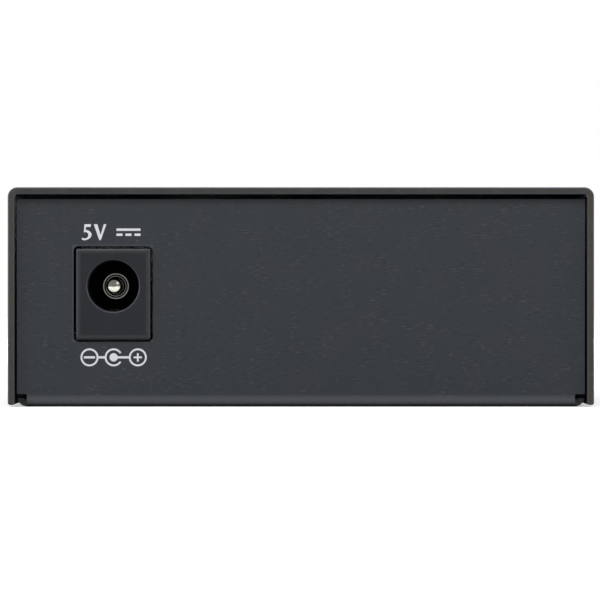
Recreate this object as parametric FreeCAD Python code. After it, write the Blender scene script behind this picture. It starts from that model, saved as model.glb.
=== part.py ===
"""Fibre media converter: a small folded steel box that joins a copper network lead to two optical fibres.

Frame: millimetres, +Z up, origin at the centre of the underside. +Y points to the rear panel with the power
socket, -Y to the front panel with the lamps, the duplex fibre port and the copper port.
Every sub-part is written to parts/NAME.step.
"""

import FreeCAD
import Part

import math
import os

from FreeCAD import Vector

# ---------------------------------------------------------------- enclosure
case_width = 70.5
case_depth = 94.0
case_height = 26.4
cover_sheet = 0.85
cover_inside_bend = 0.3
cover_lift = 0.2  # the cover's sides end this far above the underside
cover_foot_round = 0.3  # rounding of the lower ends of its sides
tray_sheet = 0.8
tray_inside_bend = 0.4
side_clearance = 0.2  # tray to cover, on each side
top_clearance = 0.55  # panels to the underside of the cover
panel_recess = 0.7  # panels stand this far inside the cover's ends
corner_notch_height = 1.5  # relief cut in the panels' lower corners
flange_height = 15.4  # side flanges of the tray, from the underside
flange_foot = 1.0  # what is left of a flange beside the panels' bends
flange_setback = 1.6
vent_count = 11  # slots in each side of the cover
vent_pitch = 4.8
vent_width = 1.6
vent_height = 6.4
vent_top_margin = 2.6  # from the top of a slot to the top of the case

# ---------------------------------------------------------------- fasteners
screw_radius = 1.5  # M3
thread_clearance = 0.05
flat_screw_length = 4.0
cover_screw_height = 11.0
cover_screw_y = 0.0
pan_head_radius = 2.6
pan_head_height = 1.8
pan_screw_length = 5.0

# ---------------------------------------------------------------- circuit board
standoff_height = 5.7
standoff_radius = 2.9  # to the corners of its hexagon
standoff_fit = 0.05
standoff_bore_depth = 5.3
standoff_edge_gap = 4.0  # from the board's sides to the pillars' axes
standoff_end_gap = 20.0  # and from its ends
board_thickness = 1.6
board_side_gap = 1.0
board_end_gap = 0.5
board_hole_clearance = 0.15
lead_hole_clearance = 0.1
tail_length = 2.8  # how far soldered tails reach below the board's top

# ---------------------------------------------------------------- power socket
jack_edge_gap = 9.82  # from the board's side to the socket's axis
jack_width = 8.9
jack_height = 10.9
jack_depth = 14.4
jack_proud = 0.35  # its face stands this far out of the rear panel
jack_window_clearance = 0.3
jack_window_round = 0.55
jack_flange_depth = 3.4
jack_chamfer = 0.15
jack_axis_height = 6.43
jack_bore_radius = 3.1
jack_bore_depth = 10.4
jack_bore_lead_in = 0.15
jack_barrel_radius = 4.2
jack_rear_wall = 3.0
jack_pin_radius = 1.0
jack_pin_tip = 3.2  # depth of the pin's tip behind the face
jack_pin_bevel = 0.4
jack_boss_radius = 1.5  # the moulded boss round the pin's foot
jack_boss_height = 0.8
jack_boss_dish = 0.2  # how far the boss's face falls towards the pin
jack_pin_seat = 0.1  # depth of the pin's shoulder behind the boss's rim
jack_rivet_radius = 0.8
jack_fit = 0.05
jack_blade_width = 3.2
jack_blade_thickness = 0.5
jack_blade_top = 8.2
jack_spring_width = 2.4
jack_spring_sheet = 0.3
jack_spring_tail = 7.7  # depth of its tail behind the face
jack_spring_floor = 1.0
jack_spring_fold = 1.3  # height of the fold at its front
jack_spring_reach = 0.3  # how far its crown stands into the bore
jack_switch_tail = 10.7
jack_switch_width = 2.0
jack_switch_height = 1.7
jack_switch_offset = 4.7

# ---------------------------------------------------------------- copper port
rj45_width = 15.9
rj45_height = 13.3
rj45_depth = 17.6
rj45_proud = 0.3
rj45_sheet = 0.25
rj45_fit = 0.05
rj45_frame = 1.1  # width of the shield's frame round the moulded face
rj45_plug_width = 11.8
rj45_plug_height = 6.9
rj45_plug_depth = 14.0
rj45_plug_floor = 4.0
rj45_latch_wide = 6.2
rj45_latch_narrow = 3.4
rj45_latch_step = 1.4
rj45_mouth_chamfer = 0.4
rj45_contact_count = 8
rj45_contact_pitch = 1.02
rj45_contact_width = 0.45
rj45_contact_sheet = 0.3
rj45_contact_front = 1.5
rj45_contact_nose = 0.9
rj45_contact_end = 9.6
rj45_contact_drop = 3.2
rj45_roof_slot = 1.0  # the contacts' channel above the plug's space
rj45_channel_gap = 0.2
rj45_rear_gap = 1.2  # from the shield's rear wall to the last row of tails
rj45_tail_row = 2.54
rj45_leg_width = 1.6
rj45_leg_depth = 12.0
rj45_finger_width = 2.2
rj45_finger_rise = 0.5
rj45_finger_peak = 2.2
rj45_finger_length = 3.2
rj45_finger_spread = 6.6
rj45_window_clearance = 0.35

# ---------------------------------------------------------------- optical transceiver
optic_width = 25.4
optic_height = 9.8
optic_depth = 39.0
optic_proud = 0.45
optic_window_clearance = 0.2
optic_port_pitch = 12.7
optic_port_width = 9.1
optic_port_height = 7.5
optic_port_depth = 14.0
optic_mouth_chamfer = 0.35
optic_key_width = 2.3
optic_key_depth = 7.5
optic_middle_wall = 1.6  # between the ports and the rear chamber
optic_shell = 1.0
optic_edge_chamfer = 0.4
optic_board_thickness = 1.0
optic_board_height = 1.2
optic_board_gap = 0.05
optic_pin_count = 9
optic_pin_pitch = 2.54
optic_pin_side = 0.5
optic_pin_depth = 33.0
optic_pin_rise = 0.5  # above the inner board
barrel_radius = 2.3
barrel_tip = 5.4  # depth of its end behind the face
barrel_fit = 0.05
barrel_can = 4.8  # the diode's can, behind the wall
ferrule_radius = 1.25
ferrule_depth = 8.0
sleeve_wall = 0.35
clip_plate = 0.8
clip_plate_height = 6.6
clip_side_gap = 0.2
clip_arm = 0.9
clip_arm_height = 2.6
clip_tip = 4.4  # depth of the arms' ends behind the face
clip_hook = 0.5
clip_hook_length = 1.2

# ---------------------------------------------------------------- status lamps
lamp_column_count = 3
lamp_pitch = 4.4
lamp_low = 3.2  # height of the lower row above the board
lamp_row_gap = 4.4
lamp_width = 2.6
lamp_height = 1.8
lamp_proud = 0.25
lamp_window_clearance = 0.15
guide_bend_depth = 5.0  # depth at which the lower row's bars turn down
guide_step = 3.0  # the upper row's turn lies this much deeper
guide_wall_start = 2.2
guide_wall = 1.2
guide_wall_margin = 0.8
led_size = (2.0, 1.2, 0.8)
led_gap = 0.2

# ---------------------------------------------------------------- parts on the board
chip_lift = 0.1  # package undersides above the board
transformer_shift = 2.2  # from the copper port's axis towards the middle
transformer_gap = 5.0  # behind the copper port
transformer_size = (12.7, 7.0, 5.6)
transformer_lead_count = 5
transformer_pitch = 2.4
transformer_lead_width = 0.7
transformer_chamfer = 0.4
converter_x = 6.0
converter_y = 6.5
converter_size = (8.0, 8.0, 0.9)
memory_x = -16.0
memory_y = 8.0
memory_size = (2.9, 1.6, 1.1)
memory_lead_count = 3
memory_pitch = 0.95
memory_lead_width = 0.4
lead_sheet = 0.2
lead_reach = 1.1
lead_foot = 0.5
crystal_x = -3.5
crystal_y = 17.0
crystal_base = (12.6, 4.8, 0.8)
crystal_can = (10.6, 4.0)
crystal_can_height = 2.6
capacitor_radius = 3.15
capacitor_height = 7.0
capacitor_base = 6.6
capacitor_base_height = 0.9
capacitor_base_corner = 1.2
capacitor_count = 2
capacitor_pitch = 8.0
capacitor_x = 4.5  # the middle of the pair
capacitor_end_gap = 9.0  # from the board's rear end
inductor_x = 14.5
inductor_end_gap = 21.0
inductor_side = 7.3
inductor_height = 4.0
inductor_chamfer = 1.2
regulator_x = -10.0
regulator_end_gap = 15.0
regulator_size = (6.5, 3.5, 1.6)
regulator_leg_count = 3
regulator_pitch = 2.3
regulator_lead_width = 0.7
regulator_tab_width = 3.0
chip_part_size = (2.0, 1.25, 0.6)
chip_part_rows = ((-23.0, -22.0), (-23.0, -14.0), (22.0, 4.0))
chip_part_count = 3  # in each row
chip_part_pitch = 3.4

# ---------------------------------------------------------------- places that follow from the sizes
tray_half = case_width / 2 - cover_sheet - side_clearance
tray_outside_bend = tray_inside_bend + tray_sheet
panel_face = case_depth / 2 - panel_recess
panel_inside = panel_face - tray_sheet
panel_top = case_height - cover_sheet - top_clearance
flange_end = panel_face - tray_outside_bend
board_bottom = tray_sheet + standoff_height
board_top = board_bottom + board_thickness
board_half_width = tray_half - tray_sheet - board_side_gap
board_half_depth = panel_inside - board_end_gap
jack_x = board_half_width - jack_edge_gap
guide_width = (lamp_column_count - 1) * lamp_pitch + lamp_width + 2 * guide_wall_margin
rj45_span = rj45_width + 2 * rj45_finger_rise
port_gap = (2 * board_half_width - guide_width - optic_width - rj45_span) / 4
lamp_x = port_gap + guide_width / 2 - board_half_width
optic_x = lamp_x + guide_width / 2 + port_gap + optic_width / 2
rj45_x = board_half_width - port_gap - rj45_span / 2
X_AXIS = Vector(1, 0, 0)
Y_AXIS = Vector(0, 1, 0)
Z_AXIS = Vector(0, 0, 1)
TOUCH = 1e-6
THROUGH = 1.0  # how far a cutting tool runs past what it cuts


# ---------------------------------------------------------------- shapes
def around(centre, size):
    """The two limits of a size that is centred on a place."""
    return centre - size / 2, centre + size / 2


def block(x, y, z):
    """A box between two limits along each axis."""
    return Part.makeBox(x[1] - x[0], y[1] - y[0], z[1] - z[0], Vector(x[0], y[0], z[0]))


def rod(radius, start, end):
    """A round bar between two points."""
    along = end - start
    return Part.makeCylinder(radius, along.Length, start, along)


def joined(shapes):
    """One solid made of shapes that touch or overlap."""
    first, rest = shapes[0], shapes[1:]
    return first.fuse(rest).removeSplitter() if rest else first


def rounded_corner(before, corner, after, radius):
    """Start, middle and end of the arc that rounds a corner."""
    back = (before - corner).normalize()
    ahead = (after - corner).normalize()
    half = back.getAngle(ahead) / 2
    reach = radius / math.tan(half)
    inward = (back + ahead).normalize()
    middle = corner + inward * (radius / math.sin(half) - radius)
    return corner + back * reach, middle, corner + ahead * reach


def rounded_face(corners, radii):
    """A flat face whose outline goes through corners, each rounded to its own radius."""
    edges, ends = [], []
    for i, (corner, radius) in enumerate(zip(corners, radii)):
        start = end = corner
        if radius > 0:
            after = corners[(i + 1) % len(corners)]
            start, middle, end = rounded_corner(corners[i - 1], corner, after, radius)
            edges.append(Part.Arc(start, middle, end).toShape())
        ends.append((start, end))
    for i, (_, here) in enumerate(ends):
        there = ends[(i + 1) % len(ends)][0]
        if here.distanceToPoint(there) > TOUCH:
            edges.append(Part.LineSegment(here, there).toShape())
    return Part.Face(Part.Wire(Part.__sortEdges__(edges)))


def strip_face(points, thickness, inside_bend, normal, end_round=0.0):
    """The section of a folded strip. Points are the corners of one side, and the sheet lies to its left, seen
    with normal pointing at the eye. An inside bend of zero leaves the folds sharp."""
    bends = (inside_bend + thickness, inside_bend) if inside_bend else (0, 0)
    ways = [(b - a).normalize() for a, b in zip(points, points[1:])]
    sides = [normal.cross(way) for way in ways]
    far = [points[0] + sides[0] * thickness]
    near_radii, far_radii = [end_round], [end_round]
    for i in range(1, len(points) - 1):
        mitre = sides[i - 1] + sides[i]
        far.append(points[i] + mitre * (2 * thickness / mitre.Length**2))
        turns_left = ways[i - 1].cross(ways[i]).dot(normal) > 0
        near_radii.append(bends[0] if turns_left else bends[1])
        far_radii.append(bends[1] if turns_left else bends[0])
    far.append(points[-1] + sides[-1] * thickness)
    near_radii.append(end_round)
    far_radii.append(end_round)
    return rounded_face(list(points) + far[::-1], near_radii + far_radii[::-1])


def prism(corners, way):
    """A solid swept from the flat polygon through corners."""
    return Part.Face(Part.makePolygon(corners + corners[:1])).extrude(way)


def turned(outline, place, direction):
    """A turned solid. The outline holds (radius, distance), with the distance taken from place."""
    corners = [Vector(radius, 0, distance) for radius, distance in outline]
    face = Part.Face(Part.makePolygon(corners + corners[:1]))
    solid = face.revolve(Vector(), Z_AXIS, 360)
    solid.Placement = FreeCAD.Placement(place, FreeCAD.Rotation(Z_AXIS, direction))
    return solid


def edges_on(shape, test):
    """The edges whose bounding box passes a test."""
    return [edge for edge in shape.Edges if test(edge.BoundBox)]


class Seat:
    """The frame of a connector on the board. Across, deep and high run from the bottom centre of its face."""

    def __init__(self, x, face, inward):
        self.x, self.face, self.inward = x, face, inward
        self.normal = X_AXIS * inward
        self.way_in = Y_AXIS * inward

    def point(self, across, deep, high):
        return Vector(self.x + across, self.face + self.inward * deep, board_top + high)

    def block(self, across, deep, high):
        a, b = self.point(across[0], deep[0], high[0]), self.point(across[1], deep[1], high[1])
        return block((a.x, b.x), sorted((a.y, b.y)), (a.z, b.z))

    def rod(self, radius, across, deep, high):
        return rod(radius, self.point(across, deep[0], high), self.point(across, deep[1], high))

    def plate(self, across, high, radius, deep):
        """A plate across the way in, with rounded corners."""
        places = [(across[0], high[0]), (across[1], high[0]), (across[1], high[1]), (across[0], high[1])]
        corners = [self.point(place, deep[0], z) for place, z in places]
        return rounded_face(corners, [radius] * 4).extrude(self.way_in * (deep[1] - deep[0]))

    def strip(self, points, thickness, inside_bend, across):
        """A folded strip whose side runs through (deep, high) points."""
        start = across[0] if self.inward > 0 else across[1]
        corners = [self.point(start, deep, high) for deep, high in points]
        face = strip_face(corners, thickness, inside_bend, self.normal)
        return face.extrude(self.normal * (across[1] - across[0]))

    def turned(self, outline, across, high):
        return turned(outline, self.point(across, 0, high), self.way_in)


jack = Seat(jack_x, panel_face + jack_proud, -1)
rj45 = Seat(rj45_x, -panel_face - rj45_proud, 1)
optic = Seat(optic_x, -panel_face - optic_proud, 1)
lamps = Seat(lamp_x, -panel_face - lamp_proud, 1)


# ---------------------------------------------------------------- places shared by several pieces
def cover_screw_places():
    """Side (-1 or 1) and y of each cover screw."""
    return [(side, cover_screw_y) for side in (-1, 1)]


def standoff_places():
    """The front pair of pillars, which the board only rests on, and the rear pair, which it is screwed to."""
    x, y = board_half_width - standoff_edge_gap, board_half_depth - standoff_end_gap
    return [(-x, -y), (x, -y)], [(-x, y), (x, y)]


def spaced(count, pitch):
    """Places of a row that is centred on zero."""
    return [(i - (count - 1) / 2) * pitch for i in range(count)]


def rj45_contact_places():
    """Across position and depth of the tail of each contact."""
    rear = rj45_depth - rj45_sheet - rj45_rear_gap
    row = spaced(rj45_contact_count, rj45_contact_pitch)
    return [(across, rear - (i % 2) * rj45_tail_row) for i, across in enumerate(row)]


def optic_port_places():
    """Across position of the transmit port and the receive port."""
    return -optic_port_pitch / 2, optic_port_pitch / 2


def lamp_rows():
    """Height of each row and the depth at which its bars turn down."""
    return [(lamp_low, guide_bend_depth), (lamp_low + lamp_row_gap, guide_bend_depth + guide_step)]


# ---------------------------------------------------------------- enclosure
def top_cover():
    """Top and both sides in one folded sheet, open at the front and rear."""
    half, low, high = case_width / 2, cover_lift, case_height
    rear = case_depth / 2
    corners = [
        Vector(half, -rear, low),
        Vector(half, -rear, high),
        Vector(-half, -rear, high),
        Vector(-half, -rear, low),
    ]
    section = strip_face(corners, cover_sheet, cover_inside_bend, -Y_AXIS, cover_foot_round)
    cover = section.extrude(Y_AXIS * case_depth)
    top = case_height - vent_top_margin
    across = (-half - THROUGH, half + THROUGH)
    tall = (top - vent_height, top)
    slots = [block(across, around(y, vent_width), tall) for y in spaced(vent_count, vent_pitch)]
    seats = [flat_head(side, y, thread_clearance) for side, y in cover_screw_places()]
    return cover.cut(slots + seats)


def flat_head(side, y, room):
    """A countersunk screw's form, grown by room. Its head is flush with the cover and fills its sheet."""
    shank = screw_radius + room
    outline = [
        (0, 0),
        (shank + cover_sheet, 0),
        (shank, cover_sheet),
        (shank, flat_screw_length),
        (0, flat_screw_length),
    ]
    return turned(outline, Vector(side * case_width / 2, y, cover_screw_height), X_AXIS * -side)


def cover_screws():
    """Countersunk screws through the cover's sides into the tray's flanges."""
    return [flat_head(side, y, 0) for side, y in cover_screw_places()]


def base_tray():
    """Floor, front panel, rear panel and side flanges in one folded sheet."""
    panel_line = [
        Vector(-tray_half, -panel_face, panel_top),
        Vector(-tray_half, -panel_face, 0),
        Vector(-tray_half, panel_face, 0),
        Vector(-tray_half, panel_face, panel_top),
    ]
    panels = strip_face(panel_line, tray_sheet, tray_inside_bend, X_AXIS).extrude(X_AXIS * 2 * tray_half)
    flange_line = [
        Vector(tray_half, -flange_end, flange_height),
        Vector(tray_half, -flange_end, 0),
        Vector(-tray_half, -flange_end, 0),
        Vector(-tray_half, -flange_end, flange_height),
    ]
    flanges = strip_face(flange_line, tray_sheet, tray_inside_bend, Y_AXIS).extrude(Y_AXIS * 2 * flange_end)
    bend_start = tray_half - tray_outside_bend
    for side in (-1, 1):
        strip = sorted((side * bend_start, side * (tray_half + THROUGH)))
        notch = block(strip, around(0, case_depth), (-THROUGH, corner_notch_height))
        panels = panels.cut(notch)
        for end in (-1, 1):
            reach = sorted((end * (flange_end - flange_setback), end * (flange_end + THROUGH)))
            flanges = flanges.cut(block(strip, reach, (flange_foot, flange_height + THROUGH)))
    holes = [screw_hole(side, y) for side, y in cover_screw_places()]
    rests, threaded = standoff_places()
    for x, y in rests + threaded:
        holes.append(hexagon(x, y, standoff_radius + standoff_fit, (-THROUGH, tray_sheet + THROUGH)))
    return joined([panels, flanges]).cut(holes + rear_windows() + front_windows())


def screw_hole(side, y):
    """The threaded hole in a flange for a cover screw."""
    start = Vector(side * (tray_half + THROUGH), y, cover_screw_height)
    return rod(screw_radius + thread_clearance, start, start - X_AXIS * side * (tray_sheet + 2 * THROUGH))


def rear_windows():
    """The opening for the power socket's face."""
    room = jack_window_clearance
    across = around(0, jack_width + 2 * room)
    depth = (-THROUGH, jack_flange_depth)
    return [jack.plate(across, (-room, jack_height + room), jack_window_round, depth)]


def front_windows():
    """Openings for the copper port, the fibre port and the lamps."""
    through = (-THROUGH, 2 * THROUGH + tray_sheet)
    room = rj45_window_clearance
    windows = [rj45.block(around(0, rj45_width + 2 * room), through, (-room, rj45_height + room))]
    room = optic_window_clearance
    windows.append(optic.block(around(0, optic_width + 2 * room), through, (-room, optic_height + room)))
    room = lamp_window_clearance
    for column in spaced(lamp_column_count, lamp_pitch):
        for high, _ in lamp_rows():
            across, tall = around(column, lamp_width + 2 * room), around(high, lamp_height + 2 * room)
            windows.append(lamps.block(across, through, tall))
    return windows


# ---------------------------------------------------------------- board and its fixings
def hexagon(x, y, radius, z):
    """A hexagonal prism; radius is to its corners."""
    turns = [math.radians(60 * i) for i in range(6)]
    corners = [Vector(x + radius * math.cos(turn), y + radius * math.sin(turn), z[0]) for turn in turns]
    return prism(corners, Z_AXIS * (z[1] - z[0]))


def board_standoffs():
    """Hexagonal pillars pressed into the floor, flush with its underside; the rear pair is threaded."""
    rests, threaded = standoff_places()
    pillars = [hexagon(x, y, standoff_radius, (0, board_bottom)) for x, y in rests]
    for x, y in threaded:
        top = Vector(x, y, board_bottom + THROUGH)
        bore = rod(screw_radius + thread_clearance, top, top - Z_AXIS * (standoff_bore_depth + THROUGH))
        pillars.append(hexagon(x, y, standoff_radius, (0, board_bottom)).cut(bore))
    return pillars


def board_screws():
    """Pan-head screws that clamp the board to the threaded pillars."""
    outline = [
        (0, -pan_screw_length),
        (screw_radius, -pan_screw_length),
        (screw_radius, 0),
        (pan_head_radius, 0),
        (pan_head_radius, pan_head_height),
        (0, pan_head_height),
    ]
    return [turned(outline, Vector(x, y, board_top), Z_AXIS) for x, y in standoff_places()[1]]


def square_hole(x, y, side):
    return block(around(x, side), around(y, side), (board_bottom - THROUGH, board_top + THROUGH))


def round_hole(x, y, radius):
    return rod(radius, Vector(x, y, board_bottom - THROUGH), Vector(x, y, board_top + THROUGH))


def lead_holes():
    """Square holes for the soldered leads."""
    holes = []
    for across, deep in rj45_contact_places():
        at = rj45.point(across, deep, 0)
        holes.append(square_hole(at.x, at.y, rj45_contact_width + 2 * lead_hole_clearance))
    for across in spaced(optic_pin_count, optic_pin_pitch):
        at = optic.point(across, optic_pin_depth, 0)
        holes.append(square_hole(at.x, at.y, optic_pin_side + 2 * lead_hole_clearance))
    return holes


def board_slots():
    """Slots for the power socket's blades and the shield's legs."""
    room = lead_hole_clearance
    down = (-board_thickness - THROUGH, THROUGH)
    start, end = jack_blade_depth()
    slots = [jack.block(around(0, jack_blade_width + 2 * room), (start - room, end + room), down)]
    spring = (jack_spring_tail - room, jack_spring_tail + jack_spring_sheet + room)
    slots.append(jack.block(around(0, jack_spring_width + 2 * room), spring, down))
    side = around(jack_switch_offset, jack_spring_sheet + 2 * room)
    slots.append(jack.block(side, around(jack_switch_tail, jack_switch_width + 2 * room), down))
    for side in (-1, 1):
        middle = side * (rj45_width / 2 - rj45_sheet / 2)
        across = around(middle, rj45_sheet + 2 * room)
        slots.append(rj45.block(across, around(rj45_leg_depth, rj45_leg_width + 2 * room), down))
    return slots


def circuit_board():
    """The main board, with its fixing holes and the holes that the soldered parts need."""
    x, y = board_half_width, board_half_depth
    board = block((-x, x), (-y, y), (board_bottom, board_top))
    holes = [round_hole(px, py, screw_radius + board_hole_clearance) for px, py in standoff_places()[1]]
    return board.cut(holes + lead_holes() + board_slots())


# ---------------------------------------------------------------- power socket
def jack_blade_depth():
    """The blade behind the rear wall: where it starts and where it ends."""
    start = jack_bore_depth + jack_rear_wall
    return start, start + jack_blade_thickness


def jack_crown():
    """How high the leaf rises at the middle of the bore's floor."""
    return jack_axis_height - jack_bore_radius + jack_spring_reach


def power_jack_housing():
    """Moulded body: a square flange that fills the panel's window and a round-topped barrel behind it, whose
    bore ends at a dished boss round the pin."""
    half = jack_width / 2
    flange = jack.block((-half, half), (0, jack_flange_depth), (0, jack_height))
    face_edges = edges_on(flange, lambda b: b.YLength < TOUCH and abs(b.YMin - jack.face) < TOUCH)
    flange = flange.makeChamfer(jack_chamfer, face_edges)
    behind = (jack_flange_depth - TOUCH, jack_depth)
    barrel = jack.rod(jack_barrel_radius, 0, behind, jack_axis_height)
    base = jack.block(around(0, 2 * jack_barrel_radius), behind, (0, jack_axis_height))
    mouth = jack_bore_radius + jack_bore_lead_in
    boss = jack_bore_depth - jack_boss_height
    rivet_room = jack_rivet_radius + jack_fit
    bore = [
        (0, -THROUGH),
        (mouth, -THROUGH),
        (mouth, 0),
        (jack_bore_radius, jack_bore_lead_in),
        (jack_bore_radius, jack_bore_depth),
        (jack_boss_radius, jack_bore_depth),
        (jack_boss_radius, boss),
        (rivet_room, boss + jack_boss_dish),
        (0, boss + jack_boss_dish),
    ]
    behind_bore = (jack_bore_depth - THROUGH, jack_depth)
    rivet_hole = jack.rod(rivet_room, 0, behind_bore, jack_axis_height)
    tools = [jack.turned(bore, 0, jack_axis_height), rivet_hole]
    return joined([flange, barrel, base]).cut(tools + jack_contact_rooms())


def jack_contact_rooms():
    """Room in the moulding for the blade, the leaf and the switch contact, all open below."""
    room = 2 * jack_fit
    blade = around(0, jack_blade_width + 2 * room)
    blade_start = jack_blade_depth()[0]
    leaf = around(0, jack_spring_width + 2 * room)
    switch_start, switch_end = around(jack_switch_tail, jack_switch_width + 2 * room)
    shelf = jack_switch_height + jack_spring_sheet
    return [
        jack.block(blade, (blade_start, jack_depth + THROUGH), (-THROUGH, jack_blade_top + jack_fit)),
        jack.block(leaf, (jack_flange_depth + jack_spring_sheet, switch_end), (-THROUGH, jack_crown())),
        jack.block((0, jack_switch_offset + THROUGH), (switch_start, switch_end), (-THROUGH, shelf + room)),
    ]


def power_jack_pin():
    """Centre pin with its bevelled tip, shoulder and riveted tail."""
    shoulder = jack_bore_depth - jack_boss_height + jack_pin_seat
    tail = jack_blade_depth()[1]
    outline = [
        (0, jack_pin_tip),
        (jack_pin_radius - jack_pin_bevel, jack_pin_tip),
        (jack_pin_radius, jack_pin_tip + jack_pin_bevel),
        (jack_pin_radius, shoulder),
        (jack_rivet_radius, shoulder),
        (jack_rivet_radius, tail),
        (0, tail),
    ]
    return jack.turned(outline, 0, jack_axis_height)


def power_jack_blade():
    """Soldered blade that the pin is riveted to."""
    start, end = jack_blade_depth()
    blade = jack.block(around(0, jack_blade_width), (start, end), (-tail_length, jack_blade_top))
    hole = jack.rod(jack_rivet_radius + jack_fit, 0, (start - THROUGH, end + THROUGH), jack_axis_height)
    return blade.cut(hole)


def power_jack_spring():
    """Sleeve contact: a leaf that doubles back and rises into the bore, where a plug presses on it."""
    sheet = jack_spring_sheet
    fold = jack_flange_depth + 2 * sheet
    line = [
        (jack_switch_tail - jack_switch_width / 4, jack_switch_height + 2 * sheet + jack_fit),
        (jack_spring_tail, jack_crown()),
        (fold, jack_spring_floor + jack_spring_fold),
        (fold, jack_spring_floor),
        (jack_spring_tail, jack_spring_floor),
        (jack_spring_tail, -tail_length),
    ]
    return jack.strip(line, sheet, 0, around(0, jack_spring_width))


def power_jack_switch():
    """Fixed contact under the leaf's end, led out of the socket's side."""
    sheet = jack_spring_sheet
    deep = around(jack_switch_tail, jack_switch_width)
    edge = jack_switch_offset + sheet / 2
    top = jack_switch_height + sheet
    shelf = jack.block((-jack_spring_width / 2, edge), deep, (jack_switch_height, top))
    return joined([shelf, jack.block((edge - sheet, edge), deep, (-tail_length, top))])


# ---------------------------------------------------------------- copper port
def rj45_shield():
    """Folded tinned shield: open below, with a framed front, sprung fingers and two soldered legs."""
    half, sheet, frame = rj45_width / 2, rj45_sheet, rj45_frame
    outer = rj45.block((-half, half), (0, rj45_depth), (0, rj45_height))
    top = board_top + rj45_height
    along = edges_on(outer, lambda b: b.YLength > rj45_depth - TOUCH and b.ZMin > top - TOUCH)
    outer = outer.makeFillet(2 * sheet, along)
    inside = (sheet - half, half - sheet)
    inner = rj45.block(inside, (sheet, rj45_depth - sheet), (-THROUGH, rj45_height - sheet))
    window = rj45.block((frame - half, half - frame), (-THROUGH, frame), (frame / 2, rj45_height - frame))
    legs = []
    for side in (-1, 1):
        across = sorted((side * half, side * (half - sheet)))
        legs.append(rj45.block(across, around(rj45_leg_depth, rj45_leg_width), (-tail_length, TOUCH)))
    return joined([outer.cut([inner, window])] + legs + rj45_fingers())


def rj45_fingers():
    """Sprung fingers on the top and the sides, which bear on the edge of the panel's window."""
    sheet = rj45_sheet
    ends = [(sheet, 0), (sheet + rj45_finger_peak, rj45_finger_rise), (sheet + rj45_finger_length, 0)]
    fingers = []
    for across in (-rj45_finger_spread / 2, rj45_finger_spread / 2):
        line = [(deep, rj45_height + rise - sheet) for deep, rise in ends]
        fingers.append(rj45.strip(line, sheet, 0, around(across, rj45_finger_width)))
    low = rj45_height / 2 - rj45_finger_width / 2
    for side in (-1, 1):
        wall = side * (rj45_width / 2 - sheet)
        points = [rj45.point(wall + side * rise, deep, low) for deep, rise in ends]
        fingers.append(strip_face(points, sheet, 0, Z_AXIS * -side).extrude(Z_AXIS * rj45_finger_width))
    return fingers


def rj45_housing():
    """Moulded insert with the stepped opening for the plug and its latch, and the contacts' channels."""
    room = rj45_sheet + rj45_fit
    half, top, rear = rj45_width / 2 - room, rj45_height - room, rj45_depth - room
    floor = rj45_plug_floor
    roof = floor + rj45_plug_height
    step = floor - rj45_latch_step
    bottom = step - rj45_latch_step
    deep = (-THROUGH, rj45_plug_depth)
    mouth = joined(
        [
            rj45.block(around(0, rj45_plug_width), deep, (floor, roof)),
            rj45.block(around(0, rj45_latch_wide), deep, (step, floor)),
            rj45.block(around(0, rj45_latch_narrow), deep, (bottom, step)),
        ]
    )
    comb = around(0, rj45_contact_count * rj45_contact_pitch)
    above = roof + rj45_roof_slot
    gap, end = rj45_channel_gap, rear + THROUGH
    front_tail = min(tail for _, tail in rj45_contact_places())
    channels = [
        rj45.block(comb, (rj45_contact_front - gap, end), (roof, above)),
        rj45.block(comb, (rj45_plug_depth + gap, end), (-THROUGH, above)),
        rj45.block(comb, (front_tail - gap, end), (-THROUGH, bottom - gap)),
    ]
    body = rj45.block((-half, half), (room, rear), (0, top)).cut([mouth] + channels)
    face = rj45.face + room
    outline = edges_on(
        body,
        lambda b: b.YLength < TOUCH
        and abs(b.YMin - face) < TOUCH
        and max(abs(b.XMax - rj45.x), abs(b.XMin - rj45.x)) < half - TOUCH
        and board_top + TOUCH < b.ZMin
        and b.ZMax < board_top + top - TOUCH,
    )
    return body.makeChamfer(rj45_mouth_chamfer, outline)


def rj45_contacts():
    """Eight plated wires: each runs up from the board, forward under the roof and back down over the plug's
    space. Every second one steps back to the rear row of holes."""
    sheet = rj45_contact_sheet
    roof = rj45_plug_floor + rj45_plug_height + rj45_roof_slot - 2 * rj45_fit
    spine = rj45_contact_places()[0][1] + sheet / 2
    jog = rj45_plug_floor - 2 * rj45_latch_step - rj45_channel_gap - 2 * sheet
    over = [
        (spine, roof),
        (rj45_contact_front, roof),
        (rj45_contact_front, roof - rj45_contact_nose),
        (rj45_contact_end, roof - rj45_contact_drop),
    ]
    contacts = []
    for across, tail in rj45_contact_places():
        foot = [(tail + sheet / 2, -tail_length)]
        if foot[0][0] < spine - TOUCH:
            foot += [(tail + sheet / 2, jog), (spine, jog)]
        contacts.append(rj45.strip(foot + over, sheet, 0, around(across, rj45_contact_width)))
    return contacts


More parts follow.
